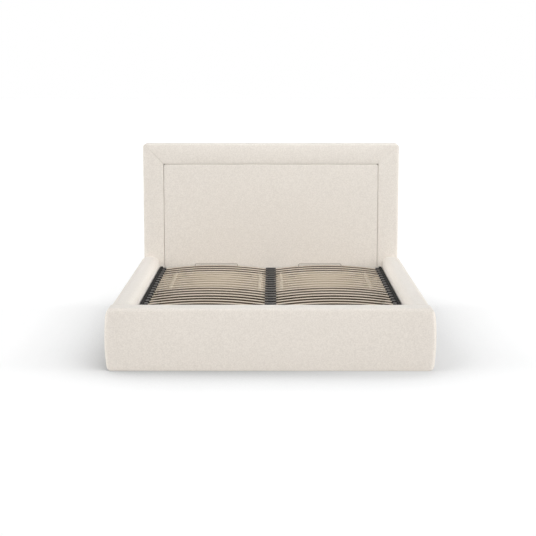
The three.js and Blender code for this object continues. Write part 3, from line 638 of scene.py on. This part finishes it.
def slat_material(name, light, dark, ply_and_shade_light, ply_and_shade_dark):
    """Lacquered face veneer, and plies on the long edges. Where the ply tones given are dark, they are painted
    shade on those edges.
    """
    material, tree, shader = new_material(name, Coat_Roughness=0.35, Specular_IOR_Level=0.3)
    grain = place_group(tree, groups["grain"], Stretch=GRAIN_ALONG_X)
    face = mixed(tree, grain["Figure"], dark, light)
    face = mixed(tree, maths(tree, "MULTIPLY", grain["Fibre"], 0.35), face, tuple(0.72 * part for part in dark))
    depth = add(tree, "Attribute", attribute_name="depth").outputs["Fac"]
    plies = maths(tree, "SINE", maths(tree, "MULTIPLY", depth, SLAT_PLIES * math.pi))
    ply_and_shade = mixed(tree, ranged(tree, plies, -0.4, 0.4), ply_and_shade_dark, ply_and_shade_light)
    normal = add(tree, "TexCoord").outputs["Normal"]
    sideways = maths(tree, "ABSOLUTE", add(tree, "SeparateXYZ", {"Vector": normal}).outputs["Y"])
    on_edge = ranged(tree, sideways, 0.75, 0.9)
    # The long edges take the ply tones: plies, and for the single slats painted shade.
    feed(tree, shader["Base Color"], mixed(tree, on_edge, face, ply_and_shade))
    feed(tree, shader["Roughness"], ranged(tree, grain["Fibre"], 0.0, 1.0, 0.5, 0.65))
    feed(tree, shader["Coat Weight"], ranged(tree, on_edge, 0.0, 1.0, 0.08, 0.0))
    bumped(tree, shader, maths(tree, "MULTIPLY_ADD", grain["Pore"], -0.6, grain["Fibre"]), 0.00025, 0.5)
    return material


def moulded_material(name, colour, roughness, dust=0.25, shine=0.5):
    """Moulded plastic, rubber or nylon."""
    material, tree, shader = new_material(name, Specular_IOR_Level=shine)
    grit = place_group(tree, groups["grit"], Size=1.4)
    pale = tuple(0.6 * part + 0.05 for part in colour)
    base = mixed(tree, grit["Cloud"], (*colour, 1), (*(1.25 * part for part in colour), 1))
    feed(tree, shader["Base Color"], mixed(tree, maths(tree, "MULTIPLY", grit["Dust"], dust), base, (*pale, 1)))
    feed(tree, shader["Roughness"], ranged(tree, grit["Cloud"], 0.0, 1.0, roughness, roughness + 0.12))
    bumped(tree, shader, grit["Height"], GRIT_RELIEF, 0.35)
    return material


def coated_material(name, colour, bare, roughness, metallic=0.0, wear=0.5, dust=0.3, shine=0.5):
    """Coated or plated steel that is rubbed bare along its edges."""
    material, tree, shader = new_material(name, Specular_IOR_Level=shine)
    grit = place_group(tree, groups["grit"], Size=1.0)
    rubbed = place_group(tree, groups["wear"], Amount=wear)["Mask"]
    base = mixed(tree, grit["Cloud"], (*colour, 1), (*(1.3 * part for part in colour), 1))
    base = mixed(tree, maths(tree, "MULTIPLY", grit["Dust"], dust), base, HOUSE_DUST)
    feed(tree, shader["Base Color"], mixed(tree, rubbed, base, (*bare, 1)))
    feed(tree, shader["Metallic"], maths(tree, "MAXIMUM", rubbed, metallic))
    finish = ranged(tree, grit["Cloud"], 0.0, 1.0, roughness, roughness + 0.15)
    feed(tree, shader["Roughness"], maths(tree, "MAXIMUM", finish, maths(tree, "MULTIPLY", grit["Dust"], 0.6)))
    bumped(tree, shader, grit["Height"], GRIT_RELIEF, 0.4)
    return material


def board_material(name, light, dark, stretch, roughness):
    """Raw board. The grain is stretched to suit it."""
    material, tree, shader = new_material(name)
    grain = place_group(tree, groups["grain"], Stretch=stretch)
    face = mixed(tree, grain["Figure"], dark, light)
    face = mixed(tree, maths(tree, "MULTIPLY", grain["Fibre"], 0.5), face, tuple(0.7 * part for part in dark))
    feed(tree, shader["Base Color"], face)
    feed(tree, shader["Roughness"], ranged(tree, grain["Fibre"], 0.0, 1.0, roughness, roughness + 0.15))
    bumped(tree, shader, grain["Fibre"], 0.0004, 0.5)
    return material


def make_materials():
    made = {
        "upholstery": upholstery_material(),
        "slat": slat_material("lacquered_slat", *SLAT_TONES, *SLAT_PLY_SHADE_TONES),
        "lumbar_slat": slat_material("lumbar_slat", *SLAT_TONES, *LUMBAR_PLY_TONES),
        "board": board_material("softwood", *SOFTWOOD_TONES, GRAIN_ALONG_X, 0.6),
        "hardboard": board_material("brown_hardboard", *HARDBOARD_TONES, HARDBOARD_GRAIN, 0.45),
    }
    for label, name, colour, roughness, finish in (
        ("holder", "charcoal_plastic", CHARCOAL, 0.3, {"dust": 0.1, "shine": 0.4}),
        ("clip", "clip_plastic", (0.52, 0.445, 0.35), 0.45, {"dust": 0.1}),
        ("rubber", "black_rubber", (0.016, 0.016, 0.017), 0.7, {}),
        ("nylon", "natural_nylon", (0.62, 0.60, 0.55), 0.4, {"dust": 0.1}),
    ):
        made[label] = moulded_material(name, colour, roughness, **finish)
    for label, name, colour, bare, roughness, finish in (
        ("frame", "powder_coat", CHARCOAL, WORN_COAT, 0.55, {"wear": 0.3, "dust": 0.03, "shine": 0.05}),
        ("hinge", "hinge_coat", (0.016, 0.016, 0.017), (0.4, 0.39, 0.38), 0.36, {"wear": 0.7}),
        ("strut", "gloss_black", (0.008, 0.008, 0.009), (0.3, 0.3, 0.3), 0.16, {"wear": 0.2}),
        ("zinc", "zinc_plate", ZINC, BARE_STEEL, 0.32, {"metallic": 1.0}),
        ("wire", "wire_plate", (0.36, 0.315, 0.265), (0.42, 0.38, 0.33), 0.4, {"metallic": 1.0, "wear": 0.3}),
        ("chrome", "hard_chrome", CHROME, BARE_STEEL, 0.08, {"metallic": 1.0, "wear": 0.1}),
    ):
        made[label] = coated_material(name, colour, bare, roughness, **finish)
    return made


# Padded pieces


def sides_of(along, axis, side, other):
    """Which of the edges along an axis lies on one side of another axis and on a side of the third."""
    return (side, other) if axis == min({X, Y, Z} - {along}) else (other, side)


def both_radii(radius):
    """The two radii of an ellipse's quarter. A round edge has one radius for both."""
    return radius if isinstance(radius, tuple) else (radius, radius)


def cover_cuts(low, high, radii, axis, pitch):
    """Where a cover is cut across an axis: closely where its edges are round, and evenly between them."""
    places = []
    reach = [0, 0]
    for along in {X, Y, Z} - {axis}:
        for side, other in product((0, 1), repeat=2):
            first, second = sides_of(along, axis, side, other)
            second_axis = axis != min({X, Y, Z} - {along})
            radius = both_radii(radii[along][first][second])[second_axis]
            reach[side] = max(reach[side], radius)
            steps = [radius * step / ROUND_STEPS for step in range(1, ROUND_STEPS + 1)]
            places += [high[axis] - step if side else low[axis] + step for step in steps]
    places += even_places(low[axis] + reach[0], high[axis] - reach[1], pitch)
    kept = []
    for place in sorted(places):
        if not kept or place - kept[-1] > LEAST_CUT:
            kept.append(place)
    return kept


def padded_block(low, high, radii, pitch=COVER_PITCH):
    """A block with a grid over its faces, whose edges are rounded by the radii given."""
    bm = block(low, high)
    for axis in (X, Y, Z):
        cut_at(bm, axis, cover_cuts(low, high, radii, axis, pitch))
    middle = (Vector(low) + Vector(high)) / 2
    for vert in bm.verts:
        for along in (X, Y, Z):
            axes = sorted({X, Y, Z} - {along})
            sides = [vert.co[axis] > middle[axis] for axis in axes]
            radius = both_radii(radii[along][sides[0]][sides[1]])
            ends = zip(axes, sides, radius)
            core = [high[axis] - size if side else low[axis] + size for axis, side, size in ends]
            reach = [(vert.co[axis] - at) / size for axis, at, size in zip(axes, core, radius)]
            beyond = all((away > 0) == side for away, side in zip(reach, sides))
            if beyond and math.hypot(*reach) > 1:
                for axis, at, away, size in zip(axes, core, reach, radius):
                    vert.co[axis] = at + away * size / math.hypot(*reach)
    return bm


def hump(value, low, high):
    """From nought at both ends to one half way between them."""
    share = (value - low) / (high - low)
    return max(0.0, 4 * share * (1 - share))


def soften(bm):
    """Slow, shallow unevenness of padding under a cover."""
    for vert in bm.verts:
        vert.co += vert.normal * UNEVEN_DEPTH * noise.noise(vert.co * UNEVEN_SCALE)


def seam(bm, plane, normal, depth):
    """Draws a cover in along a plane, as a sewn seam does."""
    normal = Vector(normal).normalized()
    plane = Vector(plane)
    for step in SEAM_CUTS:
        cut_across(bm, plane + normal * step * SEAM_WIDTH, normal)
    bm.normal_update()
    for vert in bm.verts:
        away = abs((vert.co - plane).dot(normal)) / SEAM_WIDTH
        if away < 1:
            vert.co -= vert.normal * depth * (1 - away) ** 2


def side_rail():
    """The right rail's cover, with a crowned outer face."""
    low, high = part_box("side_rail_right_pad")
    low.z = COVER_BOTTOM
    face = high.x - RAIL_CROWN
    bm = padded_block(low, (face, high.y, high.z), SIDE_RAIL_EDGES)
    middle = (low.x + face) / 2
    for vert in bm.verts:
        if vert.co.x > middle:
            vert.co.x += RAIL_CROWN * hump(vert.co.z, low.z, high.z)
    return bm


def foot_rail():
    """The footboard's cover, with a crowned front and swelling ends."""
    low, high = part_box("foot_rail_pad")
    low.z = COVER_BOTTOM
    inset = Vector((FOOT_END_INSET, 0, 0))
    front = Vector((0, RAIL_CROWN, 0))
    bm = padded_block(low + inset + front, high - inset, FOOT_RAIL_EDGES)
    middle = (low.y + high.y) / 2
    for vert in bm.verts:
        swell = hump(vert.co.z, low.z, high.z)
        if vert.co.y < middle:
            vert.co.y -= RAIL_CROWN * swell
        vert.co.x += FOOT_END_SWELL * swell * vert.co.x / high.x
    return bm


def close_cut(bm):
    """Fills the opening that a cut has left."""
    bmesh.ops.holes_fill(bm, edges=[edge for edge in bm.edges if edge.is_boundary], sides=0)


def headboard_border():
    """The right and the top length of the border, drawn in and cut at the mitres."""
    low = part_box("headboard_border_left")[0]
    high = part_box("headboard_border_right")[1]
    high.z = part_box("headboard_border_top")[1].z
    corner = Vector((high.x, 0, high.z))
    side_low = (high.x - BORDER_WIDTH, low.y, low.z)
    side = padded_block(side_low, high, BORDER_SIDE_EDGES)
    mitre = Vector((1, 0, -1)).normalized()
    half_gap = MITRE_GAP / 2
    seam(side, corner, mitre, MITRE_SEAM_DEPTH)
    cut_across(side, corner + half_gap * mitre, mitre, clear_inner=True)
    close_cut(side)
    top = padded_block((low.x, low.y, high.z - BORDER_WIDTH), high, BORDER_TOP_EDGES)
    for flip in (1, -1):
        turned_mitre = Vector((flip * mitre.x, 0, mitre.z))
        place = Vector((flip * high.x, 0, high.z))
        seam(top, place, turned_mitre, MITRE_SEAM_DEPTH)
        cut_across(top, place - half_gap * turned_mitre, turned_mitre, clear_outer=True)
        close_cut(top)
    return side, top


def headboard_panel():
    return padded_block(*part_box("headboard_panel"), PANEL_EDGES)


def headboard_back():
    return padded_block(*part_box("headboard_back"), BACK_EDGES, pitch=4 * COVER_PITCH)


def tie_cloth(made, ways):
    """Makes a cover cloth under pressure, held wherever it doesn't face one of the ways given."""
    held = made.vertex_groups.new(name="held")
    for vert in made.data.vertices:
        if all(vert.normal.dot(way) < CLOTH_FREE for way in ways):
            held.add([vert.index], 1.0, "REPLACE")
    cloth = made.modifiers.new("cloth", "CLOTH")
    cloth.settings.vertex_group_mass = held.name
    cloth.settings.use_pressure = True
    cloth.settings.uniform_pressure_force = CLOTH_PRESSURE
    cloth.settings.effector_weights.gravity = 0
    cloth.collision_settings.use_collision = False
    cloth.point_cache.frame_start = 1
    cloth.point_cache.frame_end = CLOTH_FRAMES


def swell_covers(ways):
    """Runs the cloth of all covers at once, and keeps what it does to each up to the cap."""
    scene = bpy.context.scene
    for made, faced in ways:
        tie_cloth(made, faced)
    for step in range(1, CLOTH_FRAMES + 1):
        scene.frame_set(step)
    graph = bpy.context.evaluated_depsgraph_get()
    for made, faced in ways:
        swollen = made.evaluated_get(graph).data.vertices
        moves = [after.co - before.co for before, after in zip(made.data.vertices, swollen)]
        share = CLOTH_CAP / max(CLOTH_CAP, *(move.length for move in moves))
        for vert, move in zip(made.data.vertices, moves):
            vert.co += share * move
        made.modifiers.clear()
        made.vertex_groups.clear()
    scene.frame_set(1)


def make_covers():
    cover = [materials["upholstery"]]
    cloths = []
    front, back, up = vector(Y, -1), vector(Y), vector(Z)
    left, right = vector(X, -1), vector(X)

    def padded(name, bm, node, faced):
        bm.normal_update()
        soften(bm)
        made = piece(name, bm, "base", cover, [node], smooth=COVER_SMOOTH)
        cloths.append((made, faced))

    rail = side_rail()
    padded("side_rail_cover_left", mirrored(rail), "side_rail_left_pad", (left, up))
    padded("side_rail_cover_right", rail, "side_rail_right_pad", (right, up))
    padded("footboard_cover", foot_rail(), "foot_rail_pad", (front, up))
    side, top = headboard_border()
    padded("headboard_border_length_left", mirrored(side), "headboard_border_left", (front,))
    padded("headboard_border_length_right", side, "headboard_border_right", (front,))
    padded("headboard_border_length_top", top, "headboard_border_top", (front,))
    padded("headboard_centre", headboard_panel(), "headboard_panel", (front,))
    padded("headboard_back_cover", headboard_back(), "headboard_back", (back,))
    swell_covers(cloths)


# Slats


def arc_height(x, ends, rise):
    """How high an arc over two ends is at x. Each end is given as a place across and a height."""
    (x0, z0), (x1, z1) = ends
    share = (x - x0) / (x1 - x0)
    return z0 + (z1 - z0) * share + 4 * rise * share * (1 - share)


def main_camber(x):
    end = SLAT_TOP - SLAT_RISE
    return arc_height(x, ((SLAT_ENDS[0], end), (SLAT_ENDS[1], end)), SLAT_RISE)


def lower_camber(x):
    ends = [(end, main_camber(end) - SLAT_THICKNESS - DOUBLED_GAP) for end in DOUBLED_ENDS]
    return arc_height(x, ends, DOUBLED_RISE)


def slat(y, ends, camber):
    """A cambered slat of laminated wood. Its depth attribute says how deep a point lies in the lamination."""
    half = SLAT_WIDTH / 2
    bm = block((ends[0], y - half, -SLAT_THICKNESS), (ends[1], y + half, 0))
    bevelled(bm, edges_along(bm, X), SLAT_EDGE, 2)
    cut_at(bm, X, even_places(*ends, SLAT_PITCH))
    depth = bm.verts.layers.float.new("depth")
    for vert in bm.verts:
        vert[depth] = -vert.co.z / SLAT_THICKNESS
        vert.co.z += camber(vert.co.x)
    return bm


def slat_clip(y, middle):
    """A plastic clip round a slat and the second slat below it."""
    half = SLAT_WIDTH / 2 + CLIP_WALL
    x = (middle - CLIP_LENGTH / 2, middle + CLIP_LENGTH / 2)
    low = min(map(lower_camber, x)) - SLAT_THICKNESS - CLIP_WALL
    high = max(map(main_camber, x)) + CLIP_WALL
    bm = block((x[0], y - half, low), (x[1], y + half, high))
    bevelled(bm, bm.edges[:], CLIP_EDGE, 2)
    return bm


def make_slats():
    for row in range(1, ROWS + 1):
        node = f"slat_row_{row:02d}"
        low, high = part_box(node)
        y = (low.y + high.y) / 2
        parts = [(slat(y, SLAT_ENDS, main_camber), 0)]
        if row in DOUBLED_ROWS:
            parts.append((slat(y, DOUBLED_ENDS, lower_camber), 0))
            start, end = DOUBLED_ENDS
            parts += [(slat_clip(y, at), 1) for at in (start + CLIP_INSET, end - CLIP_INSET)]
        parts += [(mirrored(part), index) for part, index in parts]
        wood = materials["lumbar_slat" if row in DOUBLED_ROWS else "slat"]
        piece(f"slats_{row:02d}", joined(parts), "slat_frame", [wood, materials["clip"]], [node], 40)


def row_places():
    """Where each row of slats lies along the bed."""
    boxes = [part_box(f"slat_row_{row:02d}") for row in range(1, ROWS + 1)]
    return [(low.y + high.y) / 2 for low, high in boxes]


def side_holder(y):
    """One end holder, with a rounded nose where the slat goes in."""
    half = SLAT_WIDTH / 2 + HOLDER_WALL
    inner, outer = SIDE_HOLDER
    bm = block((inner, y - half, SIDE_HOLDER_BOTTOM), (outer + HOLDER_BITE, y + half, HOLDER_TOP))
    nose = edges_along(bm, Y, lambda at: at.x < inner + mm and at.z > HOLDER_TOP - mm)
    bevelled(bm, nose, HOLDER_NOSE, 3)
    bevelled(bm, edges_along(bm, X), HOLDER_EDGE, 2)
    return bm


def make_holders():
    half = SLAT_WIDTH / 2 + HOLDER_WALL
    centre = []
    side = []
    for y in row_places():
        for x, depth, bottom, top in (
            (CENTRE_HOLDER_HALF, half, HOLDER_TOP - HOLDER_WALL, HOLDER_TOP),
            (CENTRE_HOLDER_HALF, half - MOUTH_DEPTH, CENTRE_HOLDER_BOTTOM, HOLDER_TOP - HOLDER_WALL / 2),
            (CENTRE_RIB_HALF, half, CENTRE_HOLDER_BOTTOM, HOLDER_TOP - HOLDER_WALL / 2),
        ):
            body = block((-x, y - depth, bottom), (x, y + depth, top))
            bevelled(body, body.edges[:], HOLDER_EDGE, 2)
            centre.append((body, 0))
        side.append((side_holder(y), 0))
    plastic = [materials["holder"]]
    piece("centre_holders", joined(centre), "slat_frame", plastic)
    whole = joined(side)
    piece("side_holders_left", mirrored(whole), "slat_frame", plastic)
    piece("side_holders_right", whole, "slat_frame", plastic)


# Steel frame


def tube(low, high, axis):
    """A rectangular tube with rounded corners, open at both ends."""
    bm = block(low, high)
    bevelled(bm, edges_along(bm, axis), TUBE_RADIUS, 3)
    ends = [face for face in bm.faces if abs(face.normal[axis]) > 0.9]
    bmesh.ops.delete(bm, geom=ends, context="FACES")
    bmesh.ops.recalc_face_normals(bm, faces=bm.faces)
    bmesh.ops.solidify(bm, geom=bm.faces[:], thickness=TUBE_WALL)
    return bm


def lug(place, radius):
    """A lug below a side tube, rounded about its pivot."""
    low = (LUG_X[0], place.y - radius, place.z - radius)
    bm = block(low, (LUG_X[1], place.y + radius, SIDE_TUBE_Z[0] + mm))
    bevelled(bm, edges_along(bm, X, lambda at: at.z < place.z), 0.98 * radius, 8)
    return bm


def across(point, x):
    """The place beside a point, at another place across the bed."""
    return Vector((x, point.y, point.z))


def side_tube():
    low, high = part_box("centre_tube")
    parts = [
        tube((SIDE_TUBE_X[0], low.y, SIDE_TUBE_Z[0]), (SIDE_TUBE_X[1], high.y, SIDE_TUBE_Z[1]), Y),
        lug(pivot, LUG_RADIUS),
        lug(strut_top, STRUT_LUG_RADIUS),
    ]
    stud = bar(STUD_RADIUS, across(strut_top, STUD_START), across(strut_top, LUG_X[0] + mm))
    return joined([(part, 0) for part in parts] + [(stud, 1)])


def make_frame():
    steel = [materials["frame"]]
    tubes = ("centre_tube", Y), ("cross_tube_head", X), ("cross_tube_middle", X), ("cross_tube_foot", X)
    for node, axis in tubes:
        low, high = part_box(node)
        piece(f"{node}_steel", tube(low, high, axis), "slat_frame", steel, [node])
    whole = side_tube()
    metals = [materials["frame"], materials["zinc"]]
    piece("side_tube_steel_left", mirrored(whole), "slat_frame", metals, ["side_tube_left"])
    piece("side_tube_steel_right", whole, "slat_frame", metals, ["side_tube_right"])


def hoop_points(low, high):
    """The middle line of a wire hoop: up one leg, round two bends and down the other."""
    half = (high.x - low.x - HOOP_WIRE) / 2
    middle = Vector(((low.x + high.x) / 2, (low.y + high.y) / 2, low.z))
    height = high.z - low.z - HOOP_WIRE / 2
    shoulder = half - HOOP_LEAN
    start = Vector((shoulder + HOOP_LEAN * HOOP_BEND / height, 0, height - HOOP_BEND))
    corner = Vector((shoulder, 0, height))
    end = Vector((shoulder - HOOP_BEND, 0, height))
    bend = []
    for step in range(HOOP_BEND_STEPS + 1):
        share = step / HOOP_BEND_STEPS
        bend.append((1 - share) ** 2 * start + 2 * share * (1 - share) * corner + share**2 * end)
    right = [Vector((half, 0, 0)), *bend]
    left = [Vector((-point.x, 0, point.z)) for point in reversed(right)]
    return [middle + point for point in right + left]


def make_hoops():
    for side in ("left", "right"):
        node = f"mattress_stop_{side}"
        points = hoop_points(*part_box(node))
        curve = bpy.data.curves.new(f"wire_hoop_{side}", "CURVE")
        curve.dimensions = "3D"
        curve.bevel_depth = HOOP_WIRE / 2
        curve.bevel_resolution = 3
        curve.use_fill_caps = True
        spline = curve.splines.new("POLY")
        spline.points.add(len(points) - 1)
        for knot, point in zip(spline.points, points):
            knot.co = (*point, 1)
        curve.materials.append(materials["wire"])
        hoop = bpy.data.objects.new(f"wire_hoop_{side}", curve)
        bpy.context.scene.collection.objects.link(hoop)
        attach(hoop, "slat_frame")
        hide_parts(node)


# Lift hinges and gas struts


def hinge_plate():
    """The right plate with its bolts, the frame's pivot pin and the strut's lower pin."""
    low = (PLATE_X[0], PLATE_Y[0], PLATE_Z[0])
    high = (PLATE_X[1], PLATE_Y[1], PLATE_Z[1])
    plate = block(low, high)
    bevelled(plate, edges_along(plate, X), PLATE_CORNER, 8)
    bevelled(plate, [edge for edge in plate.edges if not runs_across(edge)], PLATE_EDGE, 2)
    parts = [(plate, 0)]
    for y in (PLATE_Y[0] + BOLT_INSET, PLATE_Y[1] - BOLT_INSET):
        for z in (PLATE_Z[0] + BOLT_INSET, PLATE_Z[1] - BOLT_INSET):
            parts.append((turned(BOLT_HEAD, (PLATE_X[0], y, z), (-1, 0, 0)), 1))
    inside = PLATE_X[0] + mm
    eye = strut_foot.x - EYE_HALF - EYE_PLAY
    cap_radius, cap_thickness = EYE_CAP
    for radius, centre, start, end in (
        (PIN_RADIUS, pivot, LUG_X[0] - PIN_PAST_LUG, inside),
        (STUD_RADIUS, strut_foot, STUD_START, inside),
        (EYE_RADII[0] - EYE_PLAY, strut_foot, eye - mm, inside),
        (cap_radius, strut_foot, eye - cap_thickness, eye),
    ):
        parts.append((bar(radius, across(centre, start), across(centre, end)), 1))
    parts.append((turned(PIN_HEAD, across(pivot, LUG_X[0] - HEAD_OFF_LUG), (-1, 0, 0)), 1))
    return joined(parts)


def runs_across(edge):
    """Whether an edge runs across the bed."""
    run = edge.verts[1].co - edge.verts[0].co
    return abs(run.x) > 0.9 * run.length


def make_hinges():
    whole = hinge_plate()
    metals = [materials["hinge"], materials["zinc"]]
    piece("lift_hinge_left", mirrored(whole), "base", metals, ["hinge_plate_left"])
    piece("lift_hinge_right", whole, "base", metals, ["hinge_plate_right"])
    for side in ("left", "right"):
        node = f"pivot_bush_{side}"
        low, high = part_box(node)
        bush = ring(BUSH_RADII, across(pivot, low.x), across(pivot, high.x))
        piece(f"nylon_bush_{side}", bush, "base", [materials["nylon"]], [node])


def strut_eye(place):
    """A strut's eye, about a pin across the bed."""
    half = Vector((EYE_HALF, 0, 0))
    return ring(EYE_RADII, place - half, place + half)


def make_struts():
    """The struts as they stand with the frame closed."""
    neck_radius, *neck_ends = EYE_NECK
    core_radius, core_half = ROD_EYE_CORE
    for side, sign in (("left", -1), ("right", 1)):
        foot = Vector((sign * strut_foot.x, strut_foot.y, strut_foot.z))
        top = foot + strut_axis * STRUT_CLOSED
        neck = bar(neck_radius, *(foot + strut_axis * end for end in neck_ends))
        cylinder = joined([(turned(CYLINDER_PROFILE, foot, strut_axis, 32), 0), (neck, 0), (strut_eye(foot), 0)])
        name = f"strut_cylinder_{side}"
        piece(f"gas_{name}", cylinder, name, [materials["strut"]], [name], 30)
        half = Vector((core_half, 0, 0))
        core = bar(core_radius, top - half, top + half)
        rod = joined([(turned(ROD_PROFILE, foot, strut_axis), 0), (strut_eye(top), 1), (core, 1)])
        name = f"strut_rod_{side}"
        piece(f"gas_{name}", rod, name, [materials["chrome"], materials["zinc"]], [name], 30)


# Base


def rubber_buffer(low, high):
    """A buffer with a domed top, turned to fill a box."""
    radius, height = (high.x - low.x) / 2, high.z - low.z
    profile = [(0, 0), (0, radius - mm), (mm, radius)]
    profile += [(height * along, radius * out) for along, out in BUFFER_DOME]
    return turned(profile, ((low.x + high.x) / 2, (low.y + high.y) / 2, low.z), (0, 0, 1), unit=1)


def softened_copy(name, node, material, width=BROKEN_EDGE):
    """A rigid piece as the model has it, with its hard edges broken."""
    bm = bmesh.new()
    bm.from_mesh(frame["nodes"][node].data)
    bmesh.ops.remove_doubles(bm, verts=bm.verts, dist=0.01 * mm)
    bmesh.ops.dissolve_limit(bm, angle_limit=math.radians(1), verts=bm.verts, edges=bm.edges)
    bm.faces.layers.float.new("edge")
    hard = math.radians(HARD_EDGE)
    sharp = [edge for edge in bm.edges if edge.is_manifold and edge.calc_face_angle(0) > hard]
    bevelled(bm, sharp, width, 2)
    return piece(name, bm, "base", [material], [node])


def make_base():
    for side in ("left", "right"):
        for end in ("head", "foot"):
            node = f"corner_bracket_{end}_{side}"
            softened_copy(f"{node}_plate", node, materials["zinc"])
        node = f"rest_buffer_{side}"
        buffer = rubber_buffer(*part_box(node))
        piece(f"rubber_buffer_{side}", buffer, "base", [materials["rubber"]], [node])
        softened_copy(f"batten_{side}", f"floor_batten_{side}", materials["board"], BATTEN_EDGE)
        softened_copy(f"box_floor_{side}", f"floor_panel_{side}", materials["hardboard"])
    softened_copy("middle_beam", "floor_beam", materials["board"], BEAM_EDGE)
    for node in ("headboard_board", "foot_rail_board", "side_rail_left_board", "side_rail_right_board"):
        board = frame["nodes"][node].data
        board.materials.clear()
        board.materials.append(materials["board"])


def dress_bed():
    set_camera()
    light_studio()
    lay_floor()
    make_covers()
    make_slats()
    make_holders()
    make_frame()
    make_hoops()
    make_hinges()
    make_struts()
    make_base()


def joint(name):
    return next(made for made in frame["joints"] if made["name"] == name)


pivot = Vector(joint("frame_lift")["pos_m"])
strut_foot = Vector(joint("strut_tilt_right")["pos_m"])
strut_axis = Vector(joint("strut_stroke_right")["axis"])
strut_top = strut_foot + strut_axis * STRUT_CLOSED
groups = {"weave": weave_group(), "grain": grain_group(), "grit": grit_group(), "wear": wear_group()}
materials = make_materials()
dress_bed()
